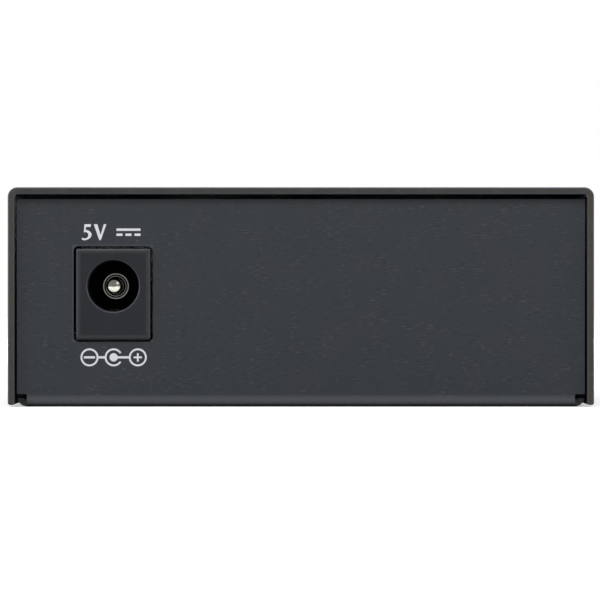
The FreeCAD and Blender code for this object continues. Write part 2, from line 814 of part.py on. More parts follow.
# ---------------------------------------------------------------- optical transceiver
def transceiver_housing():
    """Moulded body with two square ports in front and a chamber for the electronics behind them."""
    half, middle = optic_width / 2, optic_height / 2
    body = optic.block((-half, half), (0, optic_depth), (0, optic_height))
    body = body.makeChamfer(optic_edge_chamfer, edges_on(body, lambda b: b.YLength > optic_depth - TOUCH))
    chamber = (optic_port_depth + optic_middle_wall, optic_depth - optic_shell)
    inside = (optic_shell - half, half - optic_shell)
    tools = [optic.block(inside, chamber, (-THROUGH, optic_height - optic_shell))]
    for across in optic_port_places():
        port = around(across, optic_port_width)
        key = around(across, optic_key_width)
        wall = (optic_port_depth - THROUGH, chamber[0] + THROUGH)
        tools.append(optic.block(port, (-THROUGH, optic_port_depth), around(middle, optic_port_height)))
        tools.append(optic.block(key, (-THROUGH, optic_key_depth), (middle, optic_height + THROUGH)))
        tools.append(optic.rod(barrel_radius + barrel_fit, across, wall, middle))
    body = body.cut(tools)
    margin = half - optic_edge_chamfer - TOUCH
    outline = edges_on(
        body,
        lambda b: b.YLength < TOUCH
        and abs(b.YMin - optic.face) < TOUCH
        and max(abs(b.XMax - optic.x), abs(b.XMin - optic.x)) < margin
        and board_top + optic_edge_chamfer < b.ZMin
        and b.ZMax < board_top + optic_height - optic_edge_chamfer,
    )
    return body.makeChamfer(optic_mouth_chamfer, outline)


def optical_barrel(across):
    """Turned barrel that receives a ferrule, with the diode can behind the wall."""
    bore = ferrule_radius + sleeve_wall
    end = optic_port_depth + optic_middle_wall + barrel_can
    outline = [
        (bore, barrel_tip),
        (barrel_radius, barrel_tip),
        (barrel_radius, end),
        (0, end),
        (0, barrel_tip + ferrule_depth),
        (bore, barrel_tip + ferrule_depth),
    ]
    return optic.turned(outline, across, optic_height / 2)


def alignment_sleeve(across):
    """Ceramic sleeve in the barrel, whose bore centres the 2.5 mm ferrule."""
    outer = ferrule_radius + sleeve_wall
    end = barrel_tip + ferrule_depth
    outline = [(ferrule_radius, barrel_tip), (outer, barrel_tip), (outer, end), (ferrule_radius, end)]
    return optic.turned(outline, across, optic_height / 2)


def transmit_barrel():
    return optical_barrel(optic_port_places()[0])


def receive_barrel():
    return optical_barrel(optic_port_places()[1])


def alignment_sleeves():
    return [alignment_sleeve(across) for across in optic_port_places()]


def latch_clips():
    """One clip in each port: a plate against the rear wall and two hooked arms that grip the plug."""
    clips = []
    middle = optic_height / 2
    for across in optic_port_places():
        reach = optic_port_width / 2 - clip_side_gap
        plate_deep = (optic_port_depth - clip_plate, optic_port_depth)
        pieces = [optic.block(around(across, 2 * reach), plate_deep, around(middle, clip_plate_height))]
        for side in (-1, 1):
            arm = sorted((across + side * reach, across + side * (reach - clip_arm)))
            pieces.append(optic.block(arm, (clip_tip, optic_port_depth), around(middle, clip_arm_height)))
            pieces.append(clip_hook_wedge(across + side * (reach - clip_arm), side, middle))
        hole = 2 * (barrel_radius + barrel_fit)
        deep = (clip_tip, optic_port_depth + THROUGH)
        opening = optic.block(around(across, hole), deep, around(middle, hole))
        clips.append(joined(pieces).cut(opening))
    return clips


def clip_hook_wedge(across, side, high):
    """The sloping tooth at the end of an arm."""
    bottom = high - clip_arm_height / 2
    tooth = across - side * clip_hook
    section = [
        (across, clip_tip),
        (tooth, clip_tip + clip_hook_length / 2),
        (tooth, clip_tip + clip_hook_length),
        (across, clip_tip + clip_hook_length),
    ]
    return prism([optic.point(place, deep, bottom) for place, deep in section], Z_AXIS * clip_arm_height)


def optic_pins(high):
    """A row of nine square pins between two heights."""
    side = optic_pin_side
    row = spaced(optic_pin_count, optic_pin_pitch)
    return [optic.block(around(across, side), around(optic_pin_depth, side), high) for across in row]


def transceiver_board():
    """Small board that closes the transceiver's chamber and carries its pins."""
    half = optic_width / 2 - optic_shell - optic_board_gap
    start = optic_port_depth + optic_middle_wall + optic_board_gap
    deep = (start, optic_depth - optic_shell - optic_board_gap)
    low, high = optic_board_height, optic_board_height + optic_board_thickness
    return optic.block((-half, half), deep, (low, high)).cut(optic_pins((low - THROUGH, high + THROUGH)))


def transceiver_pins():
    """The pins run from the inner board through the main board."""
    return optic_pins((-tail_length, optic_board_height + optic_board_thickness + optic_pin_rise))


# ---------------------------------------------------------------- status lamps
def light_guide():
    """Clear moulding: a wall that stands on the board, and six bars that lead the light to the panel.
    Each bar turns down through a 45 degree facet."""
    top = lamp_rows()[-1][0] + lamp_height / 2 + guide_wall_margin
    wall = (guide_wall_start, guide_wall_start + guide_wall)
    pieces = [lamps.block(around(0, guide_width), wall, (0, top))]
    foot = led_size[2] + led_gap
    for middle, turn in lamp_rows():
        low, high = around(middle, lamp_height)
        back = turn + lamp_height
        section = [(0, low), (turn, low), (turn, foot), (back, foot), (back, low), (turn, high), (0, high)]
        for column in spaced(lamp_column_count, lamp_pitch):
            side = [lamps.point(column - lamp_width / 2, deep, z) for deep, z in section]
            pieces.append(prism(side, X_AXIS * lamp_width))
    return joined(pieces)


def status_leds():
    """Surface-mounted lamps on the board, each under the foot of its bar."""
    leds = []
    for column in spaced(lamp_column_count, lamp_pitch):
        for _, turn in lamp_rows():
            at = lamps.point(column, turn + lamp_height / 2, 0)
            leds.append(on_board(at.x, at.y, led_size))
    return leds


# ---------------------------------------------------------------- parts on the board
def on_board(x, y, size, lift=0.0):
    """A block of a given size that stands on the board, or above it by lift."""
    return block(around(x, size[0]), around(y, size[1]), (board_top + lift, board_top + lift + size[2]))


def formed_leads(x, y, size, side, offsets, width):
    """Leads on one side of a package: out of the side, down, and flat on the board."""
    half = size[1] / 2
    high = board_top + chip_lift + size[2] / 2
    toe = half + lead_reach
    heel = toe - lead_foot
    line = [(half, high), (heel - lead_sheet, high), (heel, board_top), (toe, board_top)]
    leads = []
    for offset in offsets:
        points = [Vector(x + offset - width / 2, y + side * out, z) for out, z in line]
        face = strip_face(points, lead_sheet, 0, X_AXIS * side)
        leads.append(face.extrude(X_AXIS * width))
    return leads


def line_transformer():
    """Moulded line transformer between the copper port and the converter chip."""
    size = transformer_size
    x = rj45_x - transformer_shift
    y = rj45.face + rj45_depth + transformer_gap + size[1] / 2
    body = on_board(x, y, size, chip_lift)
    top = board_top + chip_lift + size[2]
    body = body.makeChamfer(transformer_chamfer, edges_on(body, lambda b: b.ZMin > top - TOUCH))
    offsets = spaced(transformer_lead_count, transformer_pitch)
    leads = [formed_leads(x, y, size, side, offsets, transformer_lead_width) for side in (-1, 1)]
    return joined([body] + leads[0] + leads[1])


def converter_chip():
    """The converter chip: a flat package with its contacts underneath."""
    return on_board(converter_x, converter_y, converter_size)


def memory_chip():
    """Settings memory in a small six-lead package."""
    x, y, size = memory_x, memory_y, memory_size
    offsets = spaced(memory_lead_count, memory_pitch)
    leads = [formed_leads(x, y, size, side, offsets, memory_lead_width) for side in (-1, 1)]
    return joined([on_board(x, y, size, chip_lift)] + leads[0] + leads[1])


def voltage_regulator():
    """Regulator package with three legs on one side and the wide tab on the other."""
    x, y, size = regulator_x, board_half_depth - regulator_end_gap, regulator_size
    legs = formed_leads(x, y, size, -1, spaced(regulator_leg_count, regulator_pitch), regulator_lead_width)
    tab = formed_leads(x, y, size, 1, [0], regulator_tab_width)
    return joined([on_board(x, y, size, chip_lift)] + legs + tab)


def crystal():
    """Crystal on its flat base, in a can with rounded ends."""
    length, width = crystal_can
    reach = (length - width) / 2
    top = Z_AXIS * (crystal_base[2] + crystal_can_height)
    seats = [Vector(crystal_x + side * reach, crystal_y, board_top) for side in (-1, 1)]
    can = [rod(width / 2, seat, seat + top) for seat in seats]
    can.append(on_board(crystal_x, crystal_y, (2 * reach, width, top.z)))
    return joined([on_board(crystal_x, crystal_y, crystal_base)] + can)


def bulk_capacitors():
    """Two electrolytic cans, each on a moulded base with two cut corners."""
    cans = []
    y = board_half_depth - capacitor_end_gap
    for offset in spaced(capacitor_count, capacitor_pitch):
        x = capacitor_x + offset
        base = on_board(x, y, (capacitor_base, capacitor_base, capacitor_base_height))
        corners = edges_on(base, lambda b: b.ZLength > capacitor_base_height - TOUCH and b.YMin > y)
        base = base.makeChamfer(capacitor_base_corner, corners)
        foot = Vector(x, y, board_top)
        cans.append(joined([base, rod(capacitor_radius, foot, foot + Z_AXIS * capacitor_height)]))
    return cans


def power_inductor():
    """Shielded inductor with cut corners."""
    y = board_half_depth - inductor_end_gap
    body = on_board(inductor_x, y, (inductor_side, inductor_side, inductor_height))
    return body.makeChamfer(inductor_chamfer, edges_on(body, lambda b: b.ZLength > inductor_height - TOUCH))


def chip_parts():
    """Rows of small resistors and capacitors."""
    row = spaced(chip_part_count, chip_part_pitch)
    return [on_board(x + offset, y, chip_part_size) for x, y in chip_part_rows for offset in row]


# ---------------------------------------------------------------- the assembly
PIECES = [
    top_cover,
    base_tray,
    cover_screws,
    board_standoffs,
    board_screws,
    circuit_board,
    power_jack_housing,
    power_jack_pin,
    power_jack_blade,
    power_jack_spring,
    power_jack_switch,
    rj45_shield,
    rj45_housing,
    rj45_contacts,
    transceiver_housing,
    transmit_barrel,
    receive_barrel,
    alignment_sleeves,
    latch_clips,
    transceiver_board,
    transceiver_pins,
    light_guide,
    status_leds,
    line_transformer,
    converter_chip,
    memory_chip,
    crystal,
    bulk_capacitors,
    power_inductor,
    voltage_regulator,
    chip_parts,
]


def main():
    os.makedirs("parts", exist_ok=True)
    for piece in PIECES:
        shape = piece()
        solids = shape if isinstance(shape, list) else [shape]
        shape = Part.makeCompound([s for solid in solids for s in solid.Solids])
        shape.exportStep(f"parts/{piece.__name__}.step")


main()
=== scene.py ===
"""Looks of a fibre media converter, set round its CAD model.

The file is laid out as a Blender add-on and run as a script. Property groups hold the colours and sizes that
a user would change, each group of pieces has an operator, and a panel in the 3D view lists them. Lengths are
in millimetres in the mesh code, and MM turns them into metres.
"""

import math

import bmesh
import bpy
from mathutils import Matrix, Vector


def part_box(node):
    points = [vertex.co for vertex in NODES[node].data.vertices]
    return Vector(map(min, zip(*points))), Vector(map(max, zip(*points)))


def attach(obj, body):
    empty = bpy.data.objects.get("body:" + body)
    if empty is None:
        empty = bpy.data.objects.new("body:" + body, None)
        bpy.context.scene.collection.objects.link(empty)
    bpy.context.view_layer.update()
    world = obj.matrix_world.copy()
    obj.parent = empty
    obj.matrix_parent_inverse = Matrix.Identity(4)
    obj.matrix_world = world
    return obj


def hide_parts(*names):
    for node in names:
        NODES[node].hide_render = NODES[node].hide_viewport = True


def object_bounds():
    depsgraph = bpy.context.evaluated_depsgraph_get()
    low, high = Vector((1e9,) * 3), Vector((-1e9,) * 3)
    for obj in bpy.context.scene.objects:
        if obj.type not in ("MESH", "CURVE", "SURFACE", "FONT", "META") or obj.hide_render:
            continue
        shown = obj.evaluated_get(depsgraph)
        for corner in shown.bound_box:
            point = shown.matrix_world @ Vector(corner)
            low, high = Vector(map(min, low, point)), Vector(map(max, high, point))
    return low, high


bl_info = {
    "name": "Fibre Media Converter",
    "version": (1, 0, 0),
    "blender": (4, 5, 0),
    "location": "View3D > Sidebar > Converter",
    "description": "Finishes the pieces of a fibre media converter and sets up its stage",
    "category": "Object",
}

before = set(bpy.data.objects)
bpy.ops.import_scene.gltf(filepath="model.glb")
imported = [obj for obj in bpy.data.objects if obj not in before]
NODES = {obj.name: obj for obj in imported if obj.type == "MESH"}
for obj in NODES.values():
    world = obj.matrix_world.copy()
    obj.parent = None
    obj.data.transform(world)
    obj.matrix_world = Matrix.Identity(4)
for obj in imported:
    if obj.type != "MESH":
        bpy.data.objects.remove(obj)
CAD_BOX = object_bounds()
MM = 0.001
WELD = 1e-7
BODY = "root"


# ---------------------------------------------------------------- shading
class Signal:
    """A socket of a node tree. Sums on it add Math nodes."""

    def __init__(self, nodes, socket):
        self.nodes = nodes
        self.socket = socket

    def maths(self, operation, first, second):
        return self.nodes.node("Math", {"operation": operation}, {"Value": first, "Value_001": second})

    def __add__(self, other):
        return self.maths("ADD", self, other)

    __radd__ = __add__

    def __sub__(self, other):
        return self.maths("SUBTRACT", self, other)

    def __rsub__(self, other):
        return self.maths("SUBTRACT", other, self)

    def __mul__(self, other):
        return self.maths("MULTIPLY", self, other)

    __rmul__ = __mul__

    def above(self, limit):
        return self.maths("GREATER_THAN", self, limit)

    def larger(self, other):
        return self.maths("MAXIMUM", self, other)


class Nodes:
    """A node tree that is built up from expressions."""

    def __init__(self, tree):
        self.tree = tree
        tree.nodes.clear()

    def node(self, kind, settings=None, sockets=None, out=None):
        """A node with its settings, the values or links of its sockets, and the output that is wanted."""
        made = self.tree.nodes.new("ShaderNode" + kind)
        for name, value in (settings or {}).items():
            setattr(made, name, value)
        for name, value in (sockets or {}).items():
            socket = next(entry for entry in made.inputs if entry.identifier == name)
            if isinstance(value, Signal):
                self.tree.links.new(value.socket, socket)
            else:
                socket.default_value = value
        outputs = [entry for entry in made.outputs if out in (None, entry.identifier)]
        return Signal(self, outputs[0]) if outputs else None

    def graded(self, value, low, high, to_low=0.0, to_high=1.0):
        """The stretch of a value between low and high, spread over a new range and cut off outside it."""
        sockets = {"Value": value, "From Min": low, "From Max": high, "To Min": to_low, "To Max": to_high}
        return self.node("MapRange", {"clamp": True}, sockets, "Result")

    def ray(self, kind):
        """1 for the rays of a kind, such as the camera's, and 0 for the rest."""
        return self.node("LightPath", out=f"Is {kind} Ray")


class Finish(Nodes):
    """A material and its node tree. Patterns are measured in millimetres of the piece."""

    def __init__(self, name):
        self.material = bpy.data.materials.new(name)
        self.material.use_nodes = True
        super().__init__(self.material.node_tree)
        self.place = self.node("TexCoord", out="Object")

    def noise(self, size, detail=2.0, roughness=0.5):
        """Cloudy noise from 0 to 1. Size is that of one cloud along each axis, or one number for all."""
        sizes = size if isinstance(size, tuple) else (size,) * 3
        scale = tuple(1 / (value * MM) for value in sizes)
        place = self.node("Mapping", None, {"Vector": self.place, "Scale": scale})
        sockets = {"Vector": place, "Scale": 1.0, "Detail": detail, "Roughness": roughness}
        return self.node("TexNoise", None, sockets, "Fac")

    def spread(self, noise, low=0.0, high=1.0):
        """Noise spread between two values. Nearly all of it lies near the middle of its own range."""
        return self.graded(noise, 0.3, 0.7, low, high)

    def cells(self, size):
        """Cells about size across, as the distance from their borders."""
        sockets = {"Vector": self.place, "Scale": 1 / (size * MM)}
        return self.node("TexVoronoi", {"feature": "DISTANCE_TO_EDGE"}, sockets, "Distance")

    def mix(self, share, low, high):
        """One colour turning into another."""
        sockets = {"Factor_Float": share, "A_Color": low, "B_Color": high}
        return self.node("Mix", {"data_type": "RGBA"}, sockets, "Result_Color")

    def bump(self, height, depth, below=None):
        """A normal from a height between 0 and 1 that stands for depth millimetres."""
        sockets = {"Height": height, "Strength": 1.0, "Distance": depth * MM}
        if below:
            sockets["Normal"] = below
        return self.node("Bump", None, sockets)

    def axis(self, vector, name):
        """One part of a vector."""
        return self.node("SeparateXYZ", None, {"Vector": vector}, name)

    def size_of(self, value):
        """A value without its sign."""
        return self.node("Math", {"operation": "ABSOLUTE"}, {"Value": value})

    def normal(self, name):
        """One part of the surface's direction."""
        return self.axis(self.node("NewGeometry", out="Normal"), name)

    def facing(self, name):
        """How far the surface faces along an axis, whichever way round, from 0 to 1."""
        return self.size_of(self.normal(name))

    def along(self, name, start, end, to_start=0.0, to_end=1.0):
        """Changes between two places on an axis, in millimetres."""
        return self.graded(self.axis(self.place, name), start * MM, end * MM, to_start, to_end)

    def outwards(self, start, end, to_start=0.0, to_end=1.0):
        """Changes between two distances in from the case's sides, in millimetres."""
        side = CAD_BOX[1][0]
        return self.graded(
            self.size_of(self.axis(self.place, "X")), side - start * MM, side - end * MM, to_start, to_end
        )

    def off_box(self, box, start, end):
        """0 inside a box as seen along Y, 1 outside it, changing between two distances from its outline."""
        outside = []
        for way, low, high in zip("XZ", box[0].xz, box[1].xz):
            reach = self.size_of(self.axis(self.place, way) - (low + high) / 2 * MM)
            half = (high - low) / 2
            outside.append(self.graded(reach, (half + start) * MM, (half + end) * MM))
        return outside[0].larger(outside[1])

    def near(self, centre, start, end):
        """1 up to a distance from a place, 0 beyond another, in millimetres."""
        sockets = {"Vector": self.place, "Vector_001": tuple(centre * MM)}
        distance = self.node("VectorMath", {"operation": "DISTANCE"}, sockets, "Value")
        return self.graded(distance, start * MM, end * MM, 1.0, 0.0)

    def turned(self):
        """Where a surface bends: 0 on parts that face along an axis, 1 on rounded edges and folds."""
        flat = self.facing("X").larger(self.facing("Y")).larger(self.facing("Z"))
        return self.graded(1 - flat, 0.02, 0.2)

    def surface(self, **sockets):
        """The Principled shader and the output. Names have underscores for spaces."""
        plain = {name.replace("_", " "): value for name, value in sockets.items()}
        shader = self.node("BsdfPrincipled", None, plain)
        self.node("OutputMaterial", None, {"Surface": shader})
        return self.material


def shade(colour, factor):
    """A colour made lighter or darker."""
    return tuple(part * factor for part in colour[:3]) + (1.0,)


def grey(value, warm=0.0):
    """A neutral colour in linear light, a little warm or cool."""
    return (value * (1 + warm), value, value * (1 - warm), 1.0)


def powder_coat(name, colour, fleck, share, edge, fold_highlight=None, cut=None, window=None):
    """Fine satin powder coat, with pale flecks and dark pits that lie along the sheet.

    Edge says how much paler the coat is painted on its rounded edges, as a highlight. The fold colour is a
    highlight painted on the folds under the panels, whose lowest stretch is painted dark as a contact shadow,
    and the panels' tops under the cover are painted dark as its shadow. Cut holds the colours of the thin
    coat on the ends of the sheet, at its middle and at its sides, with glints painted on them; the sides'
    inner edge and inner faces are painted dark as shade. Window is the box of a window in the rear panel,
    with a highlight painted along two of its sides.
    """
    finish = Finish(name)
    top = CAD_BOX[1][2] / MM
    fleck_size, fleck_length, fleck_detail = 0.15, 0.8, (2.0, 0.55)
    side = finish.facing("X").above(0.7)
    along_x = finish.noise((fleck_length, fleck_length, fleck_size), *fleck_detail)
    along_y = finish.noise((fleck_size, fleck_length, fleck_size), *fleck_detail)
    streaks = along_x * (1 - side) + along_y * side
    patches = finish.graded(finish.noise(2.0, 2.0), 0.36, 0.62)
    grain = finish.noise(0.16, 3.0, 0.6)
    # Colour of the painted shadows on the tray's folds and under the cover.
    dark = shade(colour, 0.1)
    body = finish.mix(finish.graded(grain, 0.35, 0.65), shade(colour, 0.94), shade(colour, 1.06))
    body = finish.mix(finish.spread(finish.noise(7.0, 3.0), 0.0, 0.5), body, shade(colour, 0.86))
    warm = (colour[0] * 1.13, colour[1], colour[2] * 0.98, 1.0)
    body = finish.mix(finish.graded(finish.noise(4.0, 1.0), 0.42, 0.62, 0.0, 0.6), body, warm)
    if cut:
        towards_side = finish.outwards(1.65, 0.65)
        thin = finish.mix(towards_side, *cut)
        # Paler blotches painted on the cut ends by noise: painted glints.
        painted_glint = finish.graded(finish.noise((1.5, 0.5, 3.0), 3.0), 0.5, 0.7, 0.0, 0.45)
        end = finish.facing("Y").above(0.7)
        body = finish.mix(end, body, finish.mix(painted_glint, thin, shade(cut[0], 1.6)))
    pits, flecks = finish.graded(streaks, 0.42, 0.3), finish.graded(streaks, 0.58, 0.74)
    body = finish.mix(pits * patches * share, body, shade(colour, 0.35))
    body = finish.mix(flecks * patches * share, body, fleck)
    # Rounded edges and folds painted paler by the edge factor: a painted highlight.
    body = finish.mix(finish.turned(), body, shade(colour, edge))
    if cut:
        # Painted shade: the inner edge and inner faces of the cover's sides are darkened like the gap beside
        # them.
        inner_edge = finish.outwards(0.81, 0.73, 1.0, 0.0)
        under_top = finish.along("Z", top - 1.4, top - 1.1, 1.0, 0.0)
        body = finish.mix(inner_edge * under_top, body, shade(colour, 0.25))
    if fold_highlight:
        # Painted light: fold highlight, contact shadow low on the folds, shadow on panel tops under the
        # cover.
        down = 0 - finish.normal("Z")
        bent = finish.graded(down, 0.98, 0.995, 1.0, 0.0)
        foot = finish.along("Z", 1.0, 1.5, 0.7, 0.0)
        curling, painted_contact_shadow = finish.graded(down, 0.0, 0.3), finish.graded(down, 0.58, 0.82)
        painted_cover_shadow = finish.along("Z", top - 2.2, top - 1.4, 0.0, 0.7)
        body = finish.mix(curling.larger(foot) * bent, body, fold_highlight)
        body = finish.mix(painted_contact_shadow * bent, body, dark)
        body = finish.mix(painted_cover_shadow, body, dark)
    if window:
        # A highlight painted on the rear panel along two sides of the socket's window.
        rear = finish.axis(finish.place, "Y").above(0)
        body = finish.mix(rear * (1 - finish.off_box(window, -0.05, 0.05)), body, shade(colour, 1.9))
    orange_peel = finish.bump(finish.noise(0.45, 2.0), 0.012)
    return finish.surface(
        Base_Color=body,
        Roughness=finish.spread(grain, 0.5, 0.62),
        Specular_IOR_Level=0.25,
        Normal=finish.bump(grain, 0.006, orange_peel),
    )


def moulded(name, colour, roughness=0.5, grain=0.12, relief=0.006, gloss=0.5, core=None, edge=2.2, face=None):
    """Injection moulded plastic with a sparked grain, faint flow marks and a highlight painted on its edges.

    Core is a start and an end along Y, between which the moulding turns dull and is painted dark as bore
    shade.
    Edge says how much paler the edges are painted, as a highlight. Face is the box of a face with a highlight
    painted along its outline.
    """
    finish = Finish(name)
    flow = finish.noise((6.0, 2.0, 2.5), 3.0)
    spark = finish.noise(grain, 2.0, 0.6)
    scuff = finish.graded(finish.noise((0.14, 1.6, 0.6), 2.0), 0.6, 0.74, 0.0, 0.35)
    body = finish.mix(finish.spread(flow), shade(colour, 0.88), shade(colour, 1.12))
    body = finish.mix(scuff, body, shade(colour, 1.8))
    if face:
        # A highlight painted along the face's outline, where its chamfer catches the light.
        painted_outline_highlight = finish.off_box(face, -0.6, -0.4)
        body = finish.mix(painted_outline_highlight, body, grey(colour[1] * 2.3, -0.06))
    # Rounded edges painted paler: a painted highlight.
    body = finish.mix(finish.turned(), body, shade(colour, edge))
    dullness = finish.graded(flow + spark * 0.5, 0.5, 1.0, roughness - 0.05, roughness + 0.07)
    if core:
        # Painted shade: the moulding deep in the bore is darkened; its dullness is the eroded core's own.
        outside = finish.along("Y", *core)
        body = finish.mix(outside, shade(colour, 0.3), body)
        dullness = dullness * outside + (1 - outside) * 0.95
    return finish.surface(
        Base_Color=body,
        Roughness=dullness,
        Specular_IOR_Level=gloss,
        Normal=finish.bump(spark, relief),
    )


def plated(name, colour, roughness=0.28, lines=(0.04, 4.0, 0.04), relief=0.001):
    """Plated or drawn metal. Lines are the lengths of its rolling marks along each axis."""
    finish = Finish(name)
    marks = finish.noise(lines, 2.0, 0.6)
    cloud = finish.noise(1.8, 4.0, 0.6)
    return finish.surface(
        Base_Color=finish.mix(finish.graded(cloud, 0.35, 0.7), colour, shade(colour, 0.88)),
        Metallic=1.0,
        Roughness=finish.spread(marks * 0.6 + cloud * 0.4, roughness - 0.06, roughness + 0.1),
        Normal=finish.bump(marks, relief),
    )


def pin_painted_reflection(colour, tip):
    """Nickel on a contact pin, with a painted reflection: the tip's upper half painted dark, a small painted
    highlight left bright.
    """
    finish = Finish("pin_painted_reflection")
    marks = finish.noise((0.3, 0.05, 0.3), 2.0)
    cloud = finish.noise(0.5, 3.0)
    # Painted reflection: the tip's upper half is painted dark where it would mirror the bore's wall.
    height = finish.axis(finish.place, "Z") + (cloud - 0.5) * (0.5 * MM)
    upper = finish.graded(height, (tip.z - 0.15) * MM, (tip.z - 0.02) * MM)
    # A small painted highlight kept bright on the darkened half.
    painted_glint = finish.near(tip + Vector((-0.42, 0, 0.36)), 0.1, 0.2)
    front = finish.along("Y", tip.y - 0.5, tip.y - 0.3)
    body = finish.mix(finish.graded(cloud, 0.35, 0.7), colour, shade(colour, 0.85))
    body = finish.mix(upper * front * (1 - painted_glint), body, shade(colour, 0.22))
    return finish.surface(
        Base_Color=body,
        Metallic=1.0,
        Roughness=finish.spread(marks, 0.1, 0.22),
        Normal=finish.bump(marks, 0.0004),
    )


def solder_mask(colour):
    """A circuit board: green lacquer over copper on its faces, bare fibreglass at its edges, painted nearly
    black as shade.
    """
    # Colour of the board's edges, far darker than bare fibreglass: painted shade.
    shaded_laminate = (0.05, 0.045, 0.025, 1.0)
    finish = Finish("solder_mask")
    face = finish.facing("Z").above(0.6)
    weave = finish.noise((0.5, 0.5, 0.05), 1.0)
    copper = finish.graded(finish.cells(3.4), 0.05, 0.07, 1.0, 0.0)
    lacquer = finish.mix(copper, colour, shade(colour, 1.7))
    lacquer = finish.mix(finish.graded(finish.noise(7.0), 0.35, 0.65, 0.0, 0.5), lacquer, shade(colour, 0.75))
    edge = finish.mix(weave, shaded_laminate, shade(shaded_laminate, 0.6))
    return finish.surface(
        Base_Color=finish.mix(face, edge, lacquer),
        Roughness=finish.graded(face, 0.0, 1.0, 0.75, 0.28),
        Coat_Weight=face * 0.4,
        Normal=finish.bump(copper * face + weave * 0.2, 0.03),
    )


def frosted_moulding():
    """Milky polycarbonate that spreads the lamps' light, with faint flow lines."""
    finish = Finish("frosted_moulding")
    flow = finish.noise((3.0, 0.6, 1.0), 2.0)
    return finish.surface(
        Base_Color=finish.mix(flow, (0.78, 0.81, 0.82, 1.0), (0.68, 0.72, 0.74, 1.0)),
        Roughness=finish.spread(flow, 0.3, 0.42),
        IOR=1.58,
        Transmission_Weight=0.4,
        Normal=finish.bump(flow, 0.02),
    )


def fired_ceramic():
    """Polished white zirconia."""
    finish = Finish("fired_ceramic")
    cloud = finish.noise(0.8, 3.0)
    return finish.surface(
        Base_Color=finish.mix(cloud, (0.86, 0.85, 0.8, 1.0), (0.78, 0.76, 0.7, 1.0)),
        Roughness=finish.spread(cloud, 0.12, 0.22),
        Coat_Weight=0.6,
        Subsurface_Weight=0.1,
        Subsurface_Scale=0.4 * MM,
    )


def lamp_resin():
    """A surface-mounted lamp: white package with a yellow cast window on top."""
    finish = Finish("lamp_resin")
    top = finish.normal("Z").above(0.7)
    cloud = finish.noise(0.4, 2.0)
    package = finish.mix(cloud, (0.82, 0.82, 0.8, 1.0), (0.7, 0.7, 0.68, 1.0))
    window = finish.mix(cloud, (0.85, 0.72, 0.3, 1.0), (0.75, 0.6, 0.2, 1.0))
    return finish.surface(
        Base_Color=finish.mix(top, package, window),
        Roughness=finish.spread(cloud, 0.3, 0.45),
        Normal=finish.bump(cloud, 0.01),
    )


def screen_ink(colour):
    """Screen-printed ink: matt, very slightly uneven in cover."""
    finish = Finish("screen_ink")
    grain = finish.noise(0.12, 2.0)
    return finish.surface(
        Base_Color=finish.mix(finish.graded(grain, 0.4, 0.75), colour, shade(colour, 0.8)),
        Roughness=finish.spread(grain, 0.55, 0.7),
        Normal=finish.bump(grain, 0.004),
    )


# ---------------------------------------------------------------- meshes
def centre_of(node):
    """The middle of a CAD node's box, in millimetres."""
    low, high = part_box(node)
    return (low + high) / (2 * MM)


def box_mm(node):
    """The lowest and the highest corner of a CAD node, in millimetres."""
    low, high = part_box(node)
    return low / MM, high / MM


def linked(name, data):
    """A new object in the scene."""
    made = bpy.data.objects.new(name, data)
    bpy.context.scene.collection.objects.link(made)
    return made


def evaluated_mesh(holder):
    """The mesh of an object with its modifiers applied, or that of a filled curve."""
    bpy.context.view_layer.update()
    return bpy.data.meshes.new_from_object(holder.evaluated_get(bpy.context.evaluated_depsgraph_get()))


def finished(bm, name, material, crease=30.0):
    """An object of a mesh in millimetres, with its normals outwards and smooth up to the crease angle."""
    bmesh.ops.remove_doubles(bm, verts=bm.verts, dist=WELD / MM)
    bmesh.ops.recalc_face_normals(bm, faces=bm.faces)
    bmesh.ops.scale(bm, vec=Vector((MM, MM, MM)), verts=bm.verts)
    mesh = bpy.data.meshes.new(name)
    bm.to_mesh(mesh)
    bm.free()
    mesh.polygons.foreach_set("use_smooth", [True] * len(mesh.polygons))
    mesh.set_sharp_from_angle(angle=math.radians(crease))
    mesh.materials.append(material)
    return linked(name, mesh)


def flat_faces(piece):
    """Keeps the shading of flat faces flat beside their rounded edges."""
    normals = piece.modifiers.new("flat_faces", "WEIGHTED_NORMAL")
    normals.keep_sharp = True
    return piece


def soften(piece, width, segments=2):
    """Rounded edges, with the flat faces kept flat."""
    bevel = piece.modifiers.new("rounded_edges", "BEVEL")
    bevel.width = width * MM
    bevel.segments = segments
    bevel.limit_method = "ANGLE"
    bevel.angle_limit = math.radians(35)
    bevel.miter_outer = "MITER_ARC"
    return flat_faces(piece)


def sharp_edges(bm, low, high, angle=25.0):
    """Edges that turn by more than an angle and lie wholly between two corners."""
    def inside(vert):
        return all(a <= part <= b for a, part, b in zip(low, vert.co, high))

    edges = [edge for edge in bm.edges if len(edge.link_faces) == 2 and all(map(inside, edge.verts))]
    return [edge for edge in edges if edge.calc_face_angle() > math.radians(angle)]


def round_off(bm, edges, width, segments=2):
    """Rounds edges off. One segment makes a chamfer."""
    bmesh.ops.bevel(
        bm, geom=edges, offset=width, segments=segments, profile=0.5, affect="EDGES", material=-1
    )


def place_piece(piece, like, *nodes):
    """Puts a piece on the object's body and lets it stand for CAD nodes, which it hides. The like argument is
    not used.
    """
    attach(piece, BODY)
    if nodes:
        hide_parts(*nodes)
    return piece


def node_mesh(node):
    """A welded copy of a CAD node's mesh, in millimetres, with its flat faces whole."""
    bm = bmesh.new()
    bm.from_mesh(NODES[node].data)
    bmesh.ops.scale(bm, vec=Vector((1, 1, 1)) / MM, verts=bm.verts)
    bmesh.ops.remove_doubles(bm, verts=bm.verts, dist=WELD / MM)
    bmesh.ops.dissolve_limit(bm, angle_limit=math.radians(0.6), verts=bm.verts, edges=bm.edges)
    return bm


